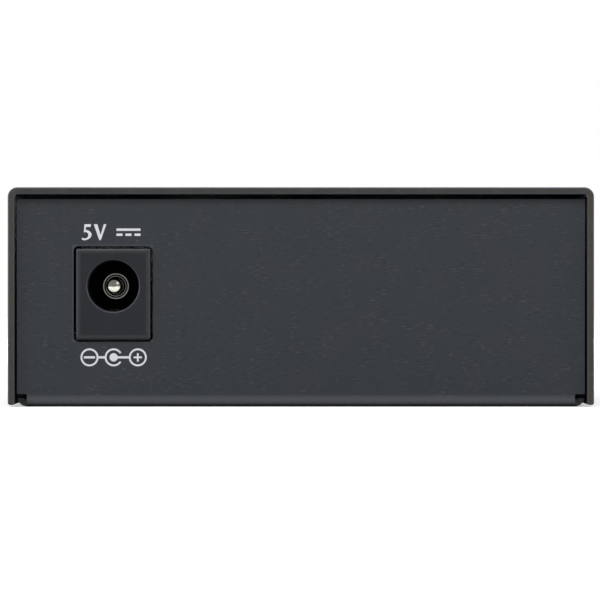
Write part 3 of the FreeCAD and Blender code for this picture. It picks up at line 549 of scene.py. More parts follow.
def stand_in(node, bm, material):
    """The finished piece of a CAD node, from a mesh in millimetres."""
    return place_piece(finished(bm, node + "_finished", material), node, node)


def dress(node, material, width=0.08, segments=2):
    """A copy of a CAD node with rounded edges and a finish of its own."""
    return soften(stand_in(node, node_mesh(node), material), width, segments)


def block(bm, low, high):
    """A box between two corners, added to the mesh. Returns its vertices."""
    low, high = Vector(low), Vector(high)
    made = bmesh.ops.create_cube(bm, size=1.0)["verts"]
    bmesh.ops.scale(bm, vec=high - low, verts=made)
    bmesh.ops.translate(bm, vec=(low + high) / 2, verts=made)
    return made


def added(bm, before):
    """The vertices that a mesh has got since it had those in before."""
    return [vert for vert in bm.verts if vert not in before]


def with_faces(verts):
    """Vertices with the edges and faces that meet at them."""
    edges = {edge for vert in verts for edge in vert.link_edges}
    faces = {face for vert in verts for face in vert.link_faces}
    return list(verts) + list(edges) + list(faces)


def revolve(bm, section, steps, gap=0.0):
    """Spins a section round the Z axis, all the way unless a gap is left, in radians."""
    turn = math.tau - gap
    bmesh.ops.spin(
        bm, geom=section, cent=(0, 0, 0), axis=(0, 0, 1), angle=turn, steps=steps, use_merge=gap == 0.0
    )


def towards(direction):
    """The turn that points +Z in a direction."""
    return Vector((0, 0, 1)).rotation_difference(Vector(direction)).to_matrix().to_4x4()


def lathe(bm, profile, place, direction, steps=48):
    """A turned form, added to the mesh. The profile holds (radius, distance), from the axis to the axis."""
    before = set(bm.verts)
    line = [bm.verts.new((radius, 0.0, distance)) for radius, distance in profile]
    revolve(bm, line + [bm.edges.new(pair) for pair in zip(line, line[1:])], steps)
    made = added(bm, before)
    bmesh.ops.transform(bm, matrix=Matrix.Translation(place) @ towards(direction), verts=made)
    bmesh.ops.remove_doubles(bm, verts=made, dist=WELD / MM)


def wire_ring(bm, radius, thickness):
    """A ring of round wire round the Y axis, added to the mesh. Thickness is the wire's radius."""
    steps = 96
    before = set(bm.verts)
    section = bmesh.ops.create_circle(bm, segments=12, radius=thickness)["verts"]
    stand_up = Matrix.Translation((radius, 0, 0)) @ Matrix.Rotation(math.pi / 2, 4, "X")
    bmesh.ops.transform(bm, matrix=stand_up, verts=section)
    revolve(bm, with_faces(section), steps)
    bmesh.ops.transform(bm, matrix=towards((0, 1, 0)), verts=added(bm, before))


def quarter_round(radius, height, steps):
    """Points of a quarter round from the axis out, as (distance from the axis, depth under its top)."""
    turns = [math.pi / 2 * i / steps for i in range(steps + 1)]
    return [(radius * math.sin(turn), height * (1 - math.cos(turn))) for turn in turns]


def rounded_edge(radius, rounding, steps):
    """Points of the rounded edge of a bar's end, from the end out, as (radius, depth under the end)."""
    inner = radius - rounding
    return [(inner + out, depth) for out, depth in quarter_round(rounding, rounding, steps)]


def carved(piece, cutters):
    """Cuts other meshes out of a piece and keeps only the result."""
    for cutter in cutters:
        cut = piece.modifiers.new("recess", "BOOLEAN")
        cut.operation = "DIFFERENCE"
        cut.solver = "EXACT"
        cut.object = cutter
    mesh = evaluated_mesh(piece)
    piece.modifiers.clear()
    piece.data = mesh
    for cutter in cutters:
        bpy.data.objects.remove(cutter)
    return piece


def boxes_of(points):
    """The box of each group of joined vertices, as its lowest and its highest corner."""
    left = set(points)
    boxes = []
    while left:
        queue = [left.pop()]
        places = []
        while queue:
            vert = queue.pop()
            places.append(vert.co)
            near = {other for edge in vert.link_edges for other in edge.verts} & left
            left -= near
            queue.extend(near)
        boxes.append(tuple(Vector([pick(parts) for parts in zip(*places)]) for pick in (min, max)))
    return boxes


def islands(node):
    """The box of each separate solid in a CAD node, from low x and y upwards."""
    bm = node_mesh(node)
    boxes = boxes_of(bm.verts)
    bm.free()
    return sorted(boxes, key=lambda box: tuple(round(part, 3) for part in box[0]))


def tails(node, level):
    """The box of each lead of a node where it crosses a level."""
    bm = node_mesh(node)
    whole = bm.verts[:] + bm.edges[:] + bm.faces[:]
    cut = bmesh.ops.bisect_plane(bm, geom=whole, plane_co=(0, 0, level), plane_no=(0, 0, 1))
    boxes = boxes_of(entry for entry in cut["geom_cut"] if isinstance(entry, bmesh.types.BMVert))
    bm.free()
    return boxes


def second_material(piece, material, boxes):
    """Gives another finish to the faces whose middle lies in none of the boxes, such as a package's leads."""
    piece.data.materials.append(material)
    for face in piece.data.polygons:
        middle = face.center / MM
        inside = any(all(a < part < b for a, part, b in zip(low, middle, high)) for low, high in boxes)
        face.material_index = 0 if inside else 1


# ---------------------------------------------------------------- settings
def colour_setting(name, description, default):
    """An opaque colour in linear light."""
    colour = default + (1.0,)
    return bpy.props.FloatVectorProperty(
        name=name, description=description, subtype="COLOR", size=4, min=0.0, max=1.0, default=colour
    )


def length_setting(name, description, default):
    """A length whose default is given in millimetres."""
    return bpy.props.FloatProperty(name=name, description=description, unit="LENGTH", default=default * MM)


class CaseSettings(bpy.types.PropertyGroup):
    """Finish of the folded case"""

    coat: colour_setting("Coat", "Colour of the powder coat", (0.0176, 0.0219, 0.0263))
    fleck_colour: colour_setting("Flecks", "Colour of the pale flecks in the coat", (0.065, 0.072, 0.08))
    fleck_share: bpy.props.FloatProperty(
        name="Fleck strength", description="How clearly the flecks show", min=0.0, max=1.0, default=0.6
    )
    cut_colour: colour_setting(
        "Cut ends", "Colour of the thin coat on the ends of the cover's sheet", (0.034, 0.028, 0.0205)
    )
    # A highlight painted on the tray's folds, in place of the floor's light on them.
    fold_highlight_colour: colour_setting(
        "Folds", "Colour of the highlight_painted coat on the folds under the panels", (0.068, 0.073, 0.08)
    )
    rounding: length_setting("Edge rounding", "Radius of the cover's coated ends", 0.2)


class SocketSettings(bpy.types.PropertyGroup):
    """Moulding and pin of the power socket"""

    colour: colour_setting("Moulding", "Colour of the socket's plastic", (0.0092, 0.0102, 0.0132))
    pin_rounding: length_setting("Pin rounding", "Rounding of the pin's tip", 0.4)


class MarkingSettings(bpy.types.PropertyGroup):
    """Signs printed beside the power socket"""

    ink: colour_setting("Ink", "Colour of the printed signs", (0.6, 0.59, 0.64))
    film: length_setting("Ink film", "Thickness of the ink", 0.02)
    letter_height: length_setting("Letter height", "Height of the voltage sign", 1.9)
    ring_radius: length_setting("Ring radius", "Outer radius of the polarity sign's rings", 1.08)


class StageSettings(bpy.types.PropertyGroup):
    """Floor, light and camera"""

    floor: colour_setting("Floor", "Colour of the floor", (0.6, 0.6, 0.6))
    daylight: bpy.props.FloatProperty(
        name="Surround", description="Strength of the light from all round", min=0.0, max=2.0, default=0.2
    )
    camera_distance: length_setting("Camera distance", "From the case's rear edge to the camera", 620)
    view_width: length_setting("View width", "Width in view at the case's rear edge", 72.11)


# ---------------------------------------------------------------- case
class CONVERTER_OT_case(bpy.types.Operator):
    """Coats the folded cover and the folded tray"""

    bl_idname = "converter.case"
    bl_label = "Case"

    # How much paler the coat is painted on rounded edges: a painted highlight.
    cover_edge_highlight = 4.2
    tray_edge_highlight = 2.3
    top_cut = grey(0.025, 0.04)
    panel_rounding = 0.1
    slot_rounding = 0.12
    slot_turn = 60.0
    window_gap = 0.3
    # Width of the highlight painted beside two sides of the socket's window.
    window_highlight = 0.2
    depth = 0.02

    def execute(self, context):
        settings = context.scene.converter_case
        coat = settings.coat, settings.fleck_colour, settings.fleck_share
        cut = self.top_cut, settings.cut_colour
        self.cover(powder_coat("cover_coat", *coat, self.cover_edge_highlight, cut=cut), settings.rounding / MM)
        low, high = box_mm("power_jack_housing")
        # The window's box reaches past two of its sides by the painted highlight's width.
        gap, drawn = Vector((1, 0, 1)) * self.window_gap, Vector((1, 0, 1)) * self.window_highlight
        window = low - gap, high + gap + drawn
        # Colour of the highlight painted on the tray's folds.
        fold_highlight = settings.fold_highlight_colour
        self.tray(powder_coat("tray_coat", *coat, self.tray_edge_highlight, fold_highlight=fold_highlight, window=window))
        return {"FINISHED"}

    def round_ends(self, bm, node, rounding, segments=2):
        """Rounds the sharp edges at the front and the rear end of a folded sheet."""
        low, high = box_mm(node)
        ends = []
        for y in (low.y, high.y):
            reach = Vector((1, self.depth, 1))
            ends += sharp_edges(bm, Vector((low.x, y, low.z)) - reach, Vector((high.x, y, high.z)) + reach)
        round_off(bm, ends, rounding, segments)

    def cover(self, coat, rounding):
        bm = node_mesh("top_cover")
        low, high = box_mm("top_cover")
        self.round_ends(bm, "top_cover", rounding, 3)
        for x in (low.x, high.x):
            start, end = (x - self.depth, low.y + 1, low.z), (x + self.depth, high.y - 1, high.z)
            round_off(bm, sharp_edges(bm, start, end, self.slot_turn), self.slot_rounding)
        flat_faces(stand_in("top_cover", bm, coat))

    def tray(self, coat):
        bm = node_mesh("base_tray")
        self.round_ends(bm, "base_tray", self.panel_rounding)
        flat_faces(stand_in("base_tray", bm, coat))


# ---------------------------------------------------------------- screws
def recess_cutters(place, direction, arm, width, depth):
    """Two crossed bars, narrower at the bottom, that cut a driver's recess into a screw's head."""
    narrowing = (0.35, 0.7, 1.0)
    cutters = []
    for angle in (0.0, math.pi / 2):
        bm = bmesh.new()
        bar = block(bm, (-arm / 2, -width / 2, -depth), (arm / 2, width / 2, depth))
        bmesh.ops.scale(bm, vec=narrowing, verts=[vert for vert in bar if vert.co.z < 0])
        turn = towards(direction) @ Matrix.Rotation(angle, 4, "Z")
        bmesh.ops.transform(bm, matrix=Matrix.Translation(place) @ turn, verts=bar)
        cutters.append(finished(bm, "recess_cutter", None))
    return cutters


class CONVERTER_OT_screws(bpy.types.Operator):
    """Makes the countersunk cover screws and the pan-head board screws, with their recesses"""

    bl_idname = "converter.screws"
    bl_label = "Screws"

    flat_recess = (2.7, 0.72, 1.1)
    pan_recess = (3.0, 0.72, 1.3)
    shank_radius = 1.5
    rim_share = 0.35

    def execute(self, context):
        self.cover_screws(plated("black_zinc", grey(0.05), 0.34, (0.3, 0.3, 0.3), 0.004))
        self.board_screws(plated("clear_zinc", (0.6, 0.62, 0.64, 1.0), 0.26, (0.3, 0.3, 0.3), 0.003))
        return {"FINISHED"}

    def cover_screws(self, metal):
        cutters = []
        for low, high in islands("cover_screws"):
            side = 1 if low.x > 0 else -1
            head = Vector((high.x if side > 0 else low.x, (low.y + high.y) / 2, (low.z + high.z) / 2))
            cutters += recess_cutters(head, (side, 0, 0), *self.flat_recess)
        screws = stand_in("cover_screws", node_mesh("cover_screws"), metal)
        soften(carved(screws, cutters), 0.05)

    def board_screws(self, metal):
        board_top = box_mm("circuit_board")[1].z
        bm = bmesh.new()
        cutters = []
        for low, high in islands("board_screws"):
            middle = Vector(((low.x + high.x) / 2, (low.y + high.y) / 2, board_top))
            radius = (high.x - low.x) / 2
            rise = high.z - board_top
            curve = quarter_round(radius, rise * (1 - self.rim_share), 8)
            dome = [(out, rise - depth) for out, depth in curve]
            end = low.z - board_top
            foot = [(radius, 0.0), (self.shank_radius, 0.0), (self.shank_radius, end), (0.0, end)]
            lathe(bm, dome + foot, middle, (0, 0, 1))
            cutters += recess_cutters(middle + Vector((0, 0, rise)), (0, 0, 1), *self.pan_recess)
        carved(stand_in("board_screws", bm, metal), cutters)


# ---------------------------------------------------------------- power socket
class CONVERTER_OT_power_socket(bpy.types.Operator):
    """Finishes the power socket's moulding and makes its rounded centre pin, eyelet and contacts"""

    bl_idname = "converter.power_socket"
    bl_label = "Power socket"

    corner = 0.22
    chamfer = 0.15
    margin = 0.01
    face_edge = 0.09
    bore_edge = 0.02
    boss_edge = 0.03
    flange_depth = 3.4
    core_start = 0.12
    core_depth = 0.4
    bore_mouth = 3.3
    bore_room = 0.3
    boss_depth = 9.6
    boss_radius = 1.55
    pin_radius = 1.0
    pin_shoulder = 6.5
    tail_radius = 0.8
    eyelet_rings = ((1.5, 0.075), (1.22, 0.035))
    eyelet_flatness = 0.25

    def execute(self, context):
        settings = context.scene.converter_socket
        nickel_colour = (0.8, 0.78, 0.68, 1.0)
        nickel = plated("spring_nickel", nickel_colour, 0.2, (0.3, 0.05, 0.3), 0.0006)
        tin = plated("soft_tin", (0.68, 0.68, 0.66, 1.0), 0.34, (0.2, 0.2, 0.2), 0.002)
        self.housing(settings.colour)
        self.pin(settings.pin_rounding / MM, shade(nickel_colour, 0.86))
        self.eyelet(tin)
        dress("power_jack_spring", nickel, 0.05)
        dress("power_jack_blade", tin, 0.06)
        dress("power_jack_switch", tin, 0.06)
        return {"FINISHED"}

    def housing(self, colour):
        """The moulding: rounded corners, a soft edge round its face and its bore, and a crisp boss."""
        low, high = box_mm("power_jack_housing")
        face = high.y
        axis = centre_of("power_jack_pin")
        margin = self.margin
        reach = self.chamfer + margin
        bm = node_mesh("power_jack_housing")
        corners = []
        for x in (low.x, high.x - reach):
            for z in (box_mm("circuit_board")[1].z - margin, high.z - reach):
                start = x, face - self.flange_depth - margin, z
                corners += sharp_edges(bm, start, (x + reach, face + margin, z + reach + margin))
        round_off(bm, corners, self.corner, 4)
        for radius, start, end, width in (
            (self.bore_mouth, 0.0, reach, self.bore_edge),
            (self.boss_radius, self.boss_depth - margin, self.boss_depth + margin, self.boss_edge),
        ):
            side = Vector((radius, 0, radius))
            deep, near = Vector((axis.x, face - end, axis.z)), Vector((axis.x, face - start + margin, axis.z))
            round_off(bm, sharp_edges(bm, deep - side, near + side), width)
        outline = sharp_edges(bm, (low.x - 1, face - reach, low.z), (high.x + 1, face + margin, high.z + 1))
        inner = self.bore_mouth + self.bore_room
        around = [edge for edge in outline if (edge.verts[0].co - axis).xz.length > inner]
        round_off(bm, around, self.face_edge, 3)
        # Painted shade deep in the bore, edges painted paler by 3.8, and a highlight painted round the face.
        core = face - self.core_depth, face - self.core_start
        plastic = moulded("socket_plastic", colour, 0.46, 0.1, 0.01, 0.2, core, 3.8, (low, high))
        flat_faces(stand_in("power_jack_housing", bm, plastic))

    def pin(self, rounding, colour):
        low, high = box_mm("power_jack_pin")
        tip = Vector(((low.x + high.x) / 2, high.y, (low.z + high.z) / 2))
        end = high.y - low.y
        nose = rounded_edge(self.pin_radius, rounding, 8)
        shoulder = [(self.pin_radius, self.pin_shoulder), (self.tail_radius, self.pin_shoulder)]
        bm = bmesh.new()
        lathe(bm, [(0.0, 0.0)] + nose + shoulder + [(self.tail_radius, end), (0.0, end)], tip, (0, -1, 0), 64)
        stand_in("power_jack_pin", bm, pin_painted_reflection(colour, tip))

    def eyelet(self, metal):
        """Two thin metal rims that show round the pin's foot."""
        axis = centre_of("power_jack_pin")
        level = box_mm("power_jack_housing")[1].y - self.boss_depth
        bm = bmesh.new()
        for radius, thickness in self.eyelet_rings:
            wire_ring(bm, radius, thickness)
        bmesh.ops.scale(bm, vec=(1, self.eyelet_flatness, 1), verts=bm.verts)
        bmesh.ops.translate(bm, vec=(axis.x, level, axis.z), verts=bm.verts)
        place_piece(finished(bm, "socket_eyelet", metal, 60.0), "power_jack_pin")


# ---------------------------------------------------------------- printed signs
def flat_outlines(name, outlines, depth):
    """A thin mesh of filled outlines. A point is (x, y) at a corner, or (x, y, True) on a round stretch."""
    curve = bpy.data.curves.new(name, "CURVE")
    curve.dimensions = "2D"
    curve.fill_mode = "BOTH"
    curve.extrude = depth / 2
    curve.resolution_u = 10
    for outline in outlines:
        spline = curve.splines.new("BEZIER")
        spline.bezier_points.add(len(outline) - 1)
        spline.use_cyclic_u = True
        for point, (x, y, *rounded) in zip(spline.bezier_points, outline):
            point.co = (x, y, 0)
            point.handle_left_type = point.handle_right_type = "AUTO" if rounded else "VECTOR"
    holder = linked(name, curve)
    mesh = evaluated_mesh(holder)
    bpy.data.objects.remove(holder)
    bm = bmesh.new()
    bm.from_mesh(mesh)
    bmesh.ops.translate(bm, vec=(0, 0, depth / 2), verts=bm.verts)
    return bm


def on_rear_panel(bm, place):
    """Stands a flat drawing up on the rear panel, readable from outside, with its origin at place."""
    turn = Matrix(((-1, 0, 0, 0), (0, 0, 1, 0), (0, 1, 0, 0), (0, 0, 0, 1)))
    bmesh.ops.transform(bm, matrix=Matrix.Translation(place) @ turn, verts=bm.verts)


def bar_outline(left, right, middle, thickness):
    """The outline of a level bar."""
    low, high = middle - thickness / 2, middle + thickness / 2
    return [(left, low), (right, low), (right, high), (left, high)]


def ring(bm, centre, radius, stroke, depth, gap=0.0):
    """A flat ring round a place, or an open one whose gap, in radians, faces right."""
    before = set(bm.verts)
    inner = radius - stroke
    corners = [(inner, 0, 0), (radius, 0, 0), (radius, 0, depth), (inner, 0, depth)]
    face = bm.faces.new([bm.verts.new(corner) for corner in corners])
    bmesh.ops.rotate(bm, cent=(0, 0, 0), matrix=Matrix.Rotation(gap / 2, 3, "Z"), verts=face.verts)
    section = list(face.verts) + list(face.edges)
    if gap:
        section.append(face)
    else:
        bm.faces.remove(face)
    revolve(bm, section, 48, gap)
    bmesh.ops.translate(bm, vec=centre, verts=added(bm, before))


class CONVERTER_OT_markings(bpy.types.Operator):
    """Prints the supply voltage over the power socket and its polarity under it"""

    bl_idname = "converter.markings"
    bl_label = "Markings"

    voltage_left = 3.79
    voltage_rise = 1.05
    polarity_drop = 2.16
    polarity_shift = 0.05
    ring_spacing = 2.905
    stroke = 0.22
    bar = 0.27
    minus_reach = 0.67
    plus_reach = 0.5
    dot_radius = 0.5
    opening = math.radians(64)

    def voltage_sign(self, scale, film):
        """A five, a V, and the sign for direct current: a bar over three dashes. Drawn one unit high."""
        five = [(0.17, 1.0), (0.59, 1.01), (0.56, 0.83), (0.27, 0.84), (0.25, 0.63), (0.34, 0.64, True)]
        five += [(0.62, 0.33, True), (0.22, -0.01, True), (0.0, 0.04), (0.02, 0.16), (0.21, 0.1, True)]
        five += [(0.42, 0.31, True), (0.26, 0.51, True), (0.13, 0.48)]
        vee = [(0.76, 1.0), (0.99, 1.0), (1.19, 0.32), (1.4, 1.0), (1.56, 1.0), (1.21, 0.0), (1.11, 0.0)]
        left, right, thickness = 2.2, 3.72, 0.15
        bar_level, dash_level = 0.66, 0.34
        shapes = [five, vee, bar_outline(left, right, bar_level, thickness)]
        dash = (right - left) / 4
        for i in range(3):
            start = left + i * (right - left - dash) / 2
            shapes.append(bar_outline(start, start + dash, dash_level, thickness))
        outlines = [[(x * scale, y * scale, *rounded) for x, y, *rounded in shape] for shape in shapes]
        return flat_outlines("voltage_sign", outlines, film)

    def polarity_sign(self, radius, film):
        """A minus in a ring, an open ring with a dot, and a plus in a ring, joined by lines."""
        bm = bmesh.new()
        spacing, half = self.ring_spacing, self.bar / 2
        for side in (-1, 1):
            ring(bm, (side * spacing, 0, 0), radius, self.stroke, film)
        ring(bm, (0, 0, 0), radius, self.stroke, film, self.opening)
        line, crossing = film * 0.9, film * 0.855
        reach = self.plus_reach
        thin = self.stroke / 2
        block(bm, (-spacing - self.minus_reach, -half, 0), (-spacing + self.minus_reach, half, line))
        block(bm, (spacing - reach, -thin, 0), (spacing + reach, thin, line))
        block(bm, (spacing - thin, -reach, 0), (spacing + thin, reach, crossing))
        block(bm, (radius - spacing, -half, 0), (-radius, half, line))
        block(bm, (0, -half, 0), (spacing - radius, half, line))
        dot = self.dot_radius
        lathe(bm, [(0.0, 0.0), (dot, 0.0), (dot, film), (0.0, film)], (0, 0, 0), (0, 0, 1), 32)
        return bm

    def execute(self, context):
        settings = context.scene.converter_markings
        ink = screen_ink(settings.ink)
        film = settings.film / MM
        socket_low, socket_high = box_mm("power_jack_housing")
        axis = centre_of("power_jack_pin").x
        panel = box_mm("base_tray")[1].y
        voltage = self.voltage_sign(settings.letter_height / MM, film)
        polarity = self.polarity_sign(settings.ring_radius / MM, film)
        for name, sign, x, z in (
            ("voltage_sign", voltage, axis + self.voltage_left, socket_high.z + self.voltage_rise),
            ("polarity_sign", polarity, axis - self.polarity_shift, socket_low.z - self.polarity_drop),
        ):
            on_rear_panel(sign, Vector((x, panel, z)))
            place_piece(finished(sign, name, ink), "base_tray")
        return {"FINISHED"}


# ---------------------------------------------------------------- front ports
class CONVERTER_OT_copper_port(bpy.types.Operator):
    """Finishes the copper port: shield, moulded insert and contact wires"""

    bl_idname = "converter.copper_port"
    bl_label = "Copper port"

    def execute(self, context):
        shield = plated("shield_plate", (0.66, 0.65, 0.62, 1.0), 0.24, (0.05, 3.0, 3.0), 0.0008)
        dress("rj45_shield", shield, 0.05)
        dress("rj45_housing", moulded("insert_plastic", grey(0.012), 0.42), 0.09)
        gold = plated("contact_gold", (0.83, 0.58, 0.22, 1.0), 0.18, (0.05, 0.5, 0.05), 0.0006)
        dress("rj45_contacts", gold, 0.06)
        return {"FINISHED"}


class CONVERTER_OT_fibre_port(bpy.types.Operator):
    """Finishes the optical transceiver and what it holds"""

    bl_idname = "converter.fibre_port"
    bl_label = "Fibre port"

    def execute(self, context):
        plastic = moulded("transceiver_plastic", grey(0.013, -0.04), 0.5, 0.14, 0.008)
        dress("transceiver_housing", plastic, 0.12)
        steel = plated("turned_steel", (0.56, 0.56, 0.55, 1.0), 0.2, (3.0, 0.05, 3.0), 0.001)
        dress("transmit_barrel", steel, 0.12)
        dress("receive_barrel", steel, 0.12)
        dress("alignment_sleeves", fired_ceramic(), 0.06)
        dress("latch_clips", moulded("clip_plastic", grey(0.09), 0.4), 0.12)
        dress("transceiver_board", solder_mask((0.02, 0.1, 0.045, 1.0)), 0.03)
        dress("transceiver_pins", plated("pin_tin", (0.7, 0.69, 0.66, 1.0), 0.3, (0.2, 0.2, 1.0)))
        return {"FINISHED"}


class CONVERTER_OT_lamps(bpy.types.Operator):
    """Finishes the status lamps and their light guide"""

    bl_idname = "converter.lamps"
    bl_label = "Status lamps"

    def execute(self, context):
        dress("light_guide", frosted_moulding(), 0.1, 3)
        dress("status_leds", lamp_resin(), 0.06)
        return {"FINISHED"}


# ---------------------------------------------------------------- board
class CONVERTER_OT_board(bpy.types.Operator):
    """Finishes the main board and its pillars, and solders the leads that pass through it"""

    bl_idname = "converter.board"
    bl_label = "Circuit board"

    soldered = ("rj45_contacts", "rj45_shield", "transceiver_pins")
    soldered += ("power_jack_blade", "power_jack_spring", "power_jack_switch")
    pad = 0.4
    joint_height = 0.75
    joint_hollow = 0.75

    def execute(self, context):
        dress("circuit_board", solder_mask((0.012, 0.085, 0.035, 1.0)), 0.04)
        pillar = plated("pillar_zinc", (0.58, 0.6, 0.62, 1.0), 0.3, (0.2, 0.2, 2.0), 0.002)
        dress("board_standoffs", pillar, 0.12)
        underside = box_mm("circuit_board")[0].z
        bm = bmesh.new()
        for node in self.soldered:
            for low, high in tails(node, underside - self.joint_height / 2):
                self.solder(bm, (low + high) / 2, (high - low) / 2, underside)
        solder = plated("solder", (0.62, 0.62, 0.6, 1.0), 0.22, (0.5, 0.5, 0.5), 0.004)
        place_piece(finished(bm, "solder_joints", solder), "transceiver_pins")
        return {"FINISHED"}

    def solder(self, bm, middle, half, level):
        """A hollow-sided cone of solder round one lead, under the board."""
        rise = self.joint_height
        side = [(1 - out, depth) for out, depth in quarter_round(self.joint_hollow, rise, 6)]
        before = set(bm.verts)
        lathe(bm, [(0.0, 0.0)] + side + [(0.0, rise)], (0, 0, 0), (0, 0, -1), 20)
        made = added(bm, before)
        bmesh.ops.scale(bm, vec=(half.x + self.pad, half.y + self.pad, 1.0), verts=made)
        bmesh.ops.translate(bm, vec=(middle.x, middle.y, level), verts=made)


class CONVERTER_OT_board_parts(bpy.types.Operator):
    """Finishes the parts that are soldered on the board"""

    bl_idname = "converter.board_parts"
    bl_label = "Board parts"

    packages = ("line_transformer", "memory_chip", "voltage_regulator")
    lead_reach = 1.15
    foot_height = 0.09
    can_inset = 0.15
    can_rounding = 0.5
    can_start = 0.3
    groove = (1.5, 2.0, 0.25)
    base_rise = 0.9
    base_chamfer = 1.2
    mark_inset = 0.55
    mark_edge = 0.35
    mark_film = 0.01
    chip_end = 0.4
    chip_room = 0.1

    def execute(self, context):
        resin = moulded("package_resin", grey(0.016), 0.5, 0.08)
        tin = plated("lead_tin", (0.68, 0.68, 0.66, 1.0), 0.32, (0.2, 0.2, 0.2), 0.002)
        for node in self.packages:
            self.package(node, resin, tin)
        dress("converter_chip", resin)
        dress("crystal", plated("crystal_can", (0.62, 0.62, 0.6, 1.0), 0.25, (2.0, 0.1, 0.1)), 0.2, 3)
        dress("power_inductor", moulded("ferrite", grey(0.03), 0.6, 0.2, 0.02), 0.25, 3)
        self.capacitors(resin)
        self.chips(tin)
        return {"FINISHED"}

    def package(self, node, resin, tin):
        """A moulded body with tinned leads."""
        low, high = box_mm(node)
        start = low.x - 1, low.y + self.lead_reach, low.z + self.foot_height
        body = start, (high.x + 1, high.y - self.lead_reach, high.z + 1)
        second_material(dress(node, resin, 0.05), tin, [body])

    def capacitors(self, resin):
        """Two drawn cans with a rolled groove and a marked half, on their moulded bases."""
        can = plated("can_aluminium", (0.74, 0.75, 0.76, 1.0), 0.24, (0.3, 0.3, 0.05))
        cans, bases, marks = bmesh.new(), bmesh.new(), bmesh.new()
        for low, high in islands("bulk_capacitors"):
            middle = Vector(((low.x + high.x) / 2, (low.y + high.y) / 2, low.z))
            radius = (high.x - low.x) / 2 - self.can_inset
            top = high.z - low.z
            start, end, inwards = self.groove
            foot = [(0.0, self.can_start), (radius, self.can_start)]
            groove = [(radius, start), (radius - inwards, (start + end) / 2), (radius, end)]
            bend = rounded_edge(radius, self.can_rounding, 5)
            shoulder = [(out, top - depth) for out, depth in reversed(bend)]
            lathe(cans, foot + groove + shoulder + [(0.0, top)], middle, (0, 0, 1), 56)
            base = block(bases, low, (high.x, high.y, low.z + self.base_rise))
            corners = [
                edge
                for edge in {edge for vert in base for edge in vert.link_edges}
                if edge.verts[0].co.xy == edge.verts[1].co.xy and edge.verts[0].co.y > middle.y
            ]
            round_off(bases, corners, self.base_chamfer, 1)
            self.half_mark(marks, middle + Vector((0, 0, top)), radius - self.mark_inset)
        place_piece(finished(cans, "capacitor_cans", can), "bulk_capacitors", "bulk_capacitors")
        soften(place_piece(finished(bases, "capacitor_bases", resin), "line_transformer"), 0.06)
        ink = moulded("can_mark", grey(0.01), 0.6)
        place_piece(finished(marks, "capacitor_marks", ink), "line_transformer")

    def half_mark(self, bm, place, radius):
        """The dark printed segment that shows the negative side of a can."""
        before = set(bm.verts)
        made = bmesh.ops.create_circle(bm, cap_ends=True, segments=48, radius=radius)["verts"]
        line = (-radius * self.mark_edge, 0, 0)
        bmesh.ops.bisect_plane(
            bm, geom=with_faces(made), plane_co=line, plane_no=(1, 0, 0), clear_outer=True
        )
        faces = list({face for vert in added(bm, before) for face in vert.link_faces})
        raised = bmesh.ops.extrude_face_region(bm, geom=faces)["geom"]
        lid = [entry for entry in raised if isinstance(entry, bmesh.types.BMVert)]
        bmesh.ops.translate(bm, vec=(0, 0, self.mark_film), verts=lid)
        bmesh.ops.translate(bm, vec=place, verts=added(bm, before))

    def chips(self, tin):
        """Small two-ended parts: a dark body between tinned ends."""
        bm = bmesh.new()
        bodies = []
        for low, high in islands("chip_parts"):
            before = set(bm.verts)
            block(bm, low, high)
            start, end = low.x + self.chip_end, high.x - self.chip_end
            for x in (start, end):
                whole = with_faces(added(bm, before))
                bmesh.ops.bisect_plane(bm, geom=whole, plane_co=(x, 0, 0), plane_no=(1, 0, 0))
            room = self.chip_room
            bodies.append(((start, low.y - room, low.z - room), (end, high.y + room, high.z + room)))
        piece = soften(stand_in("chip_parts", bm, moulded("chip_body", grey(0.03), 0.45)), 0.06)
        second_material(piece, tin, bodies)


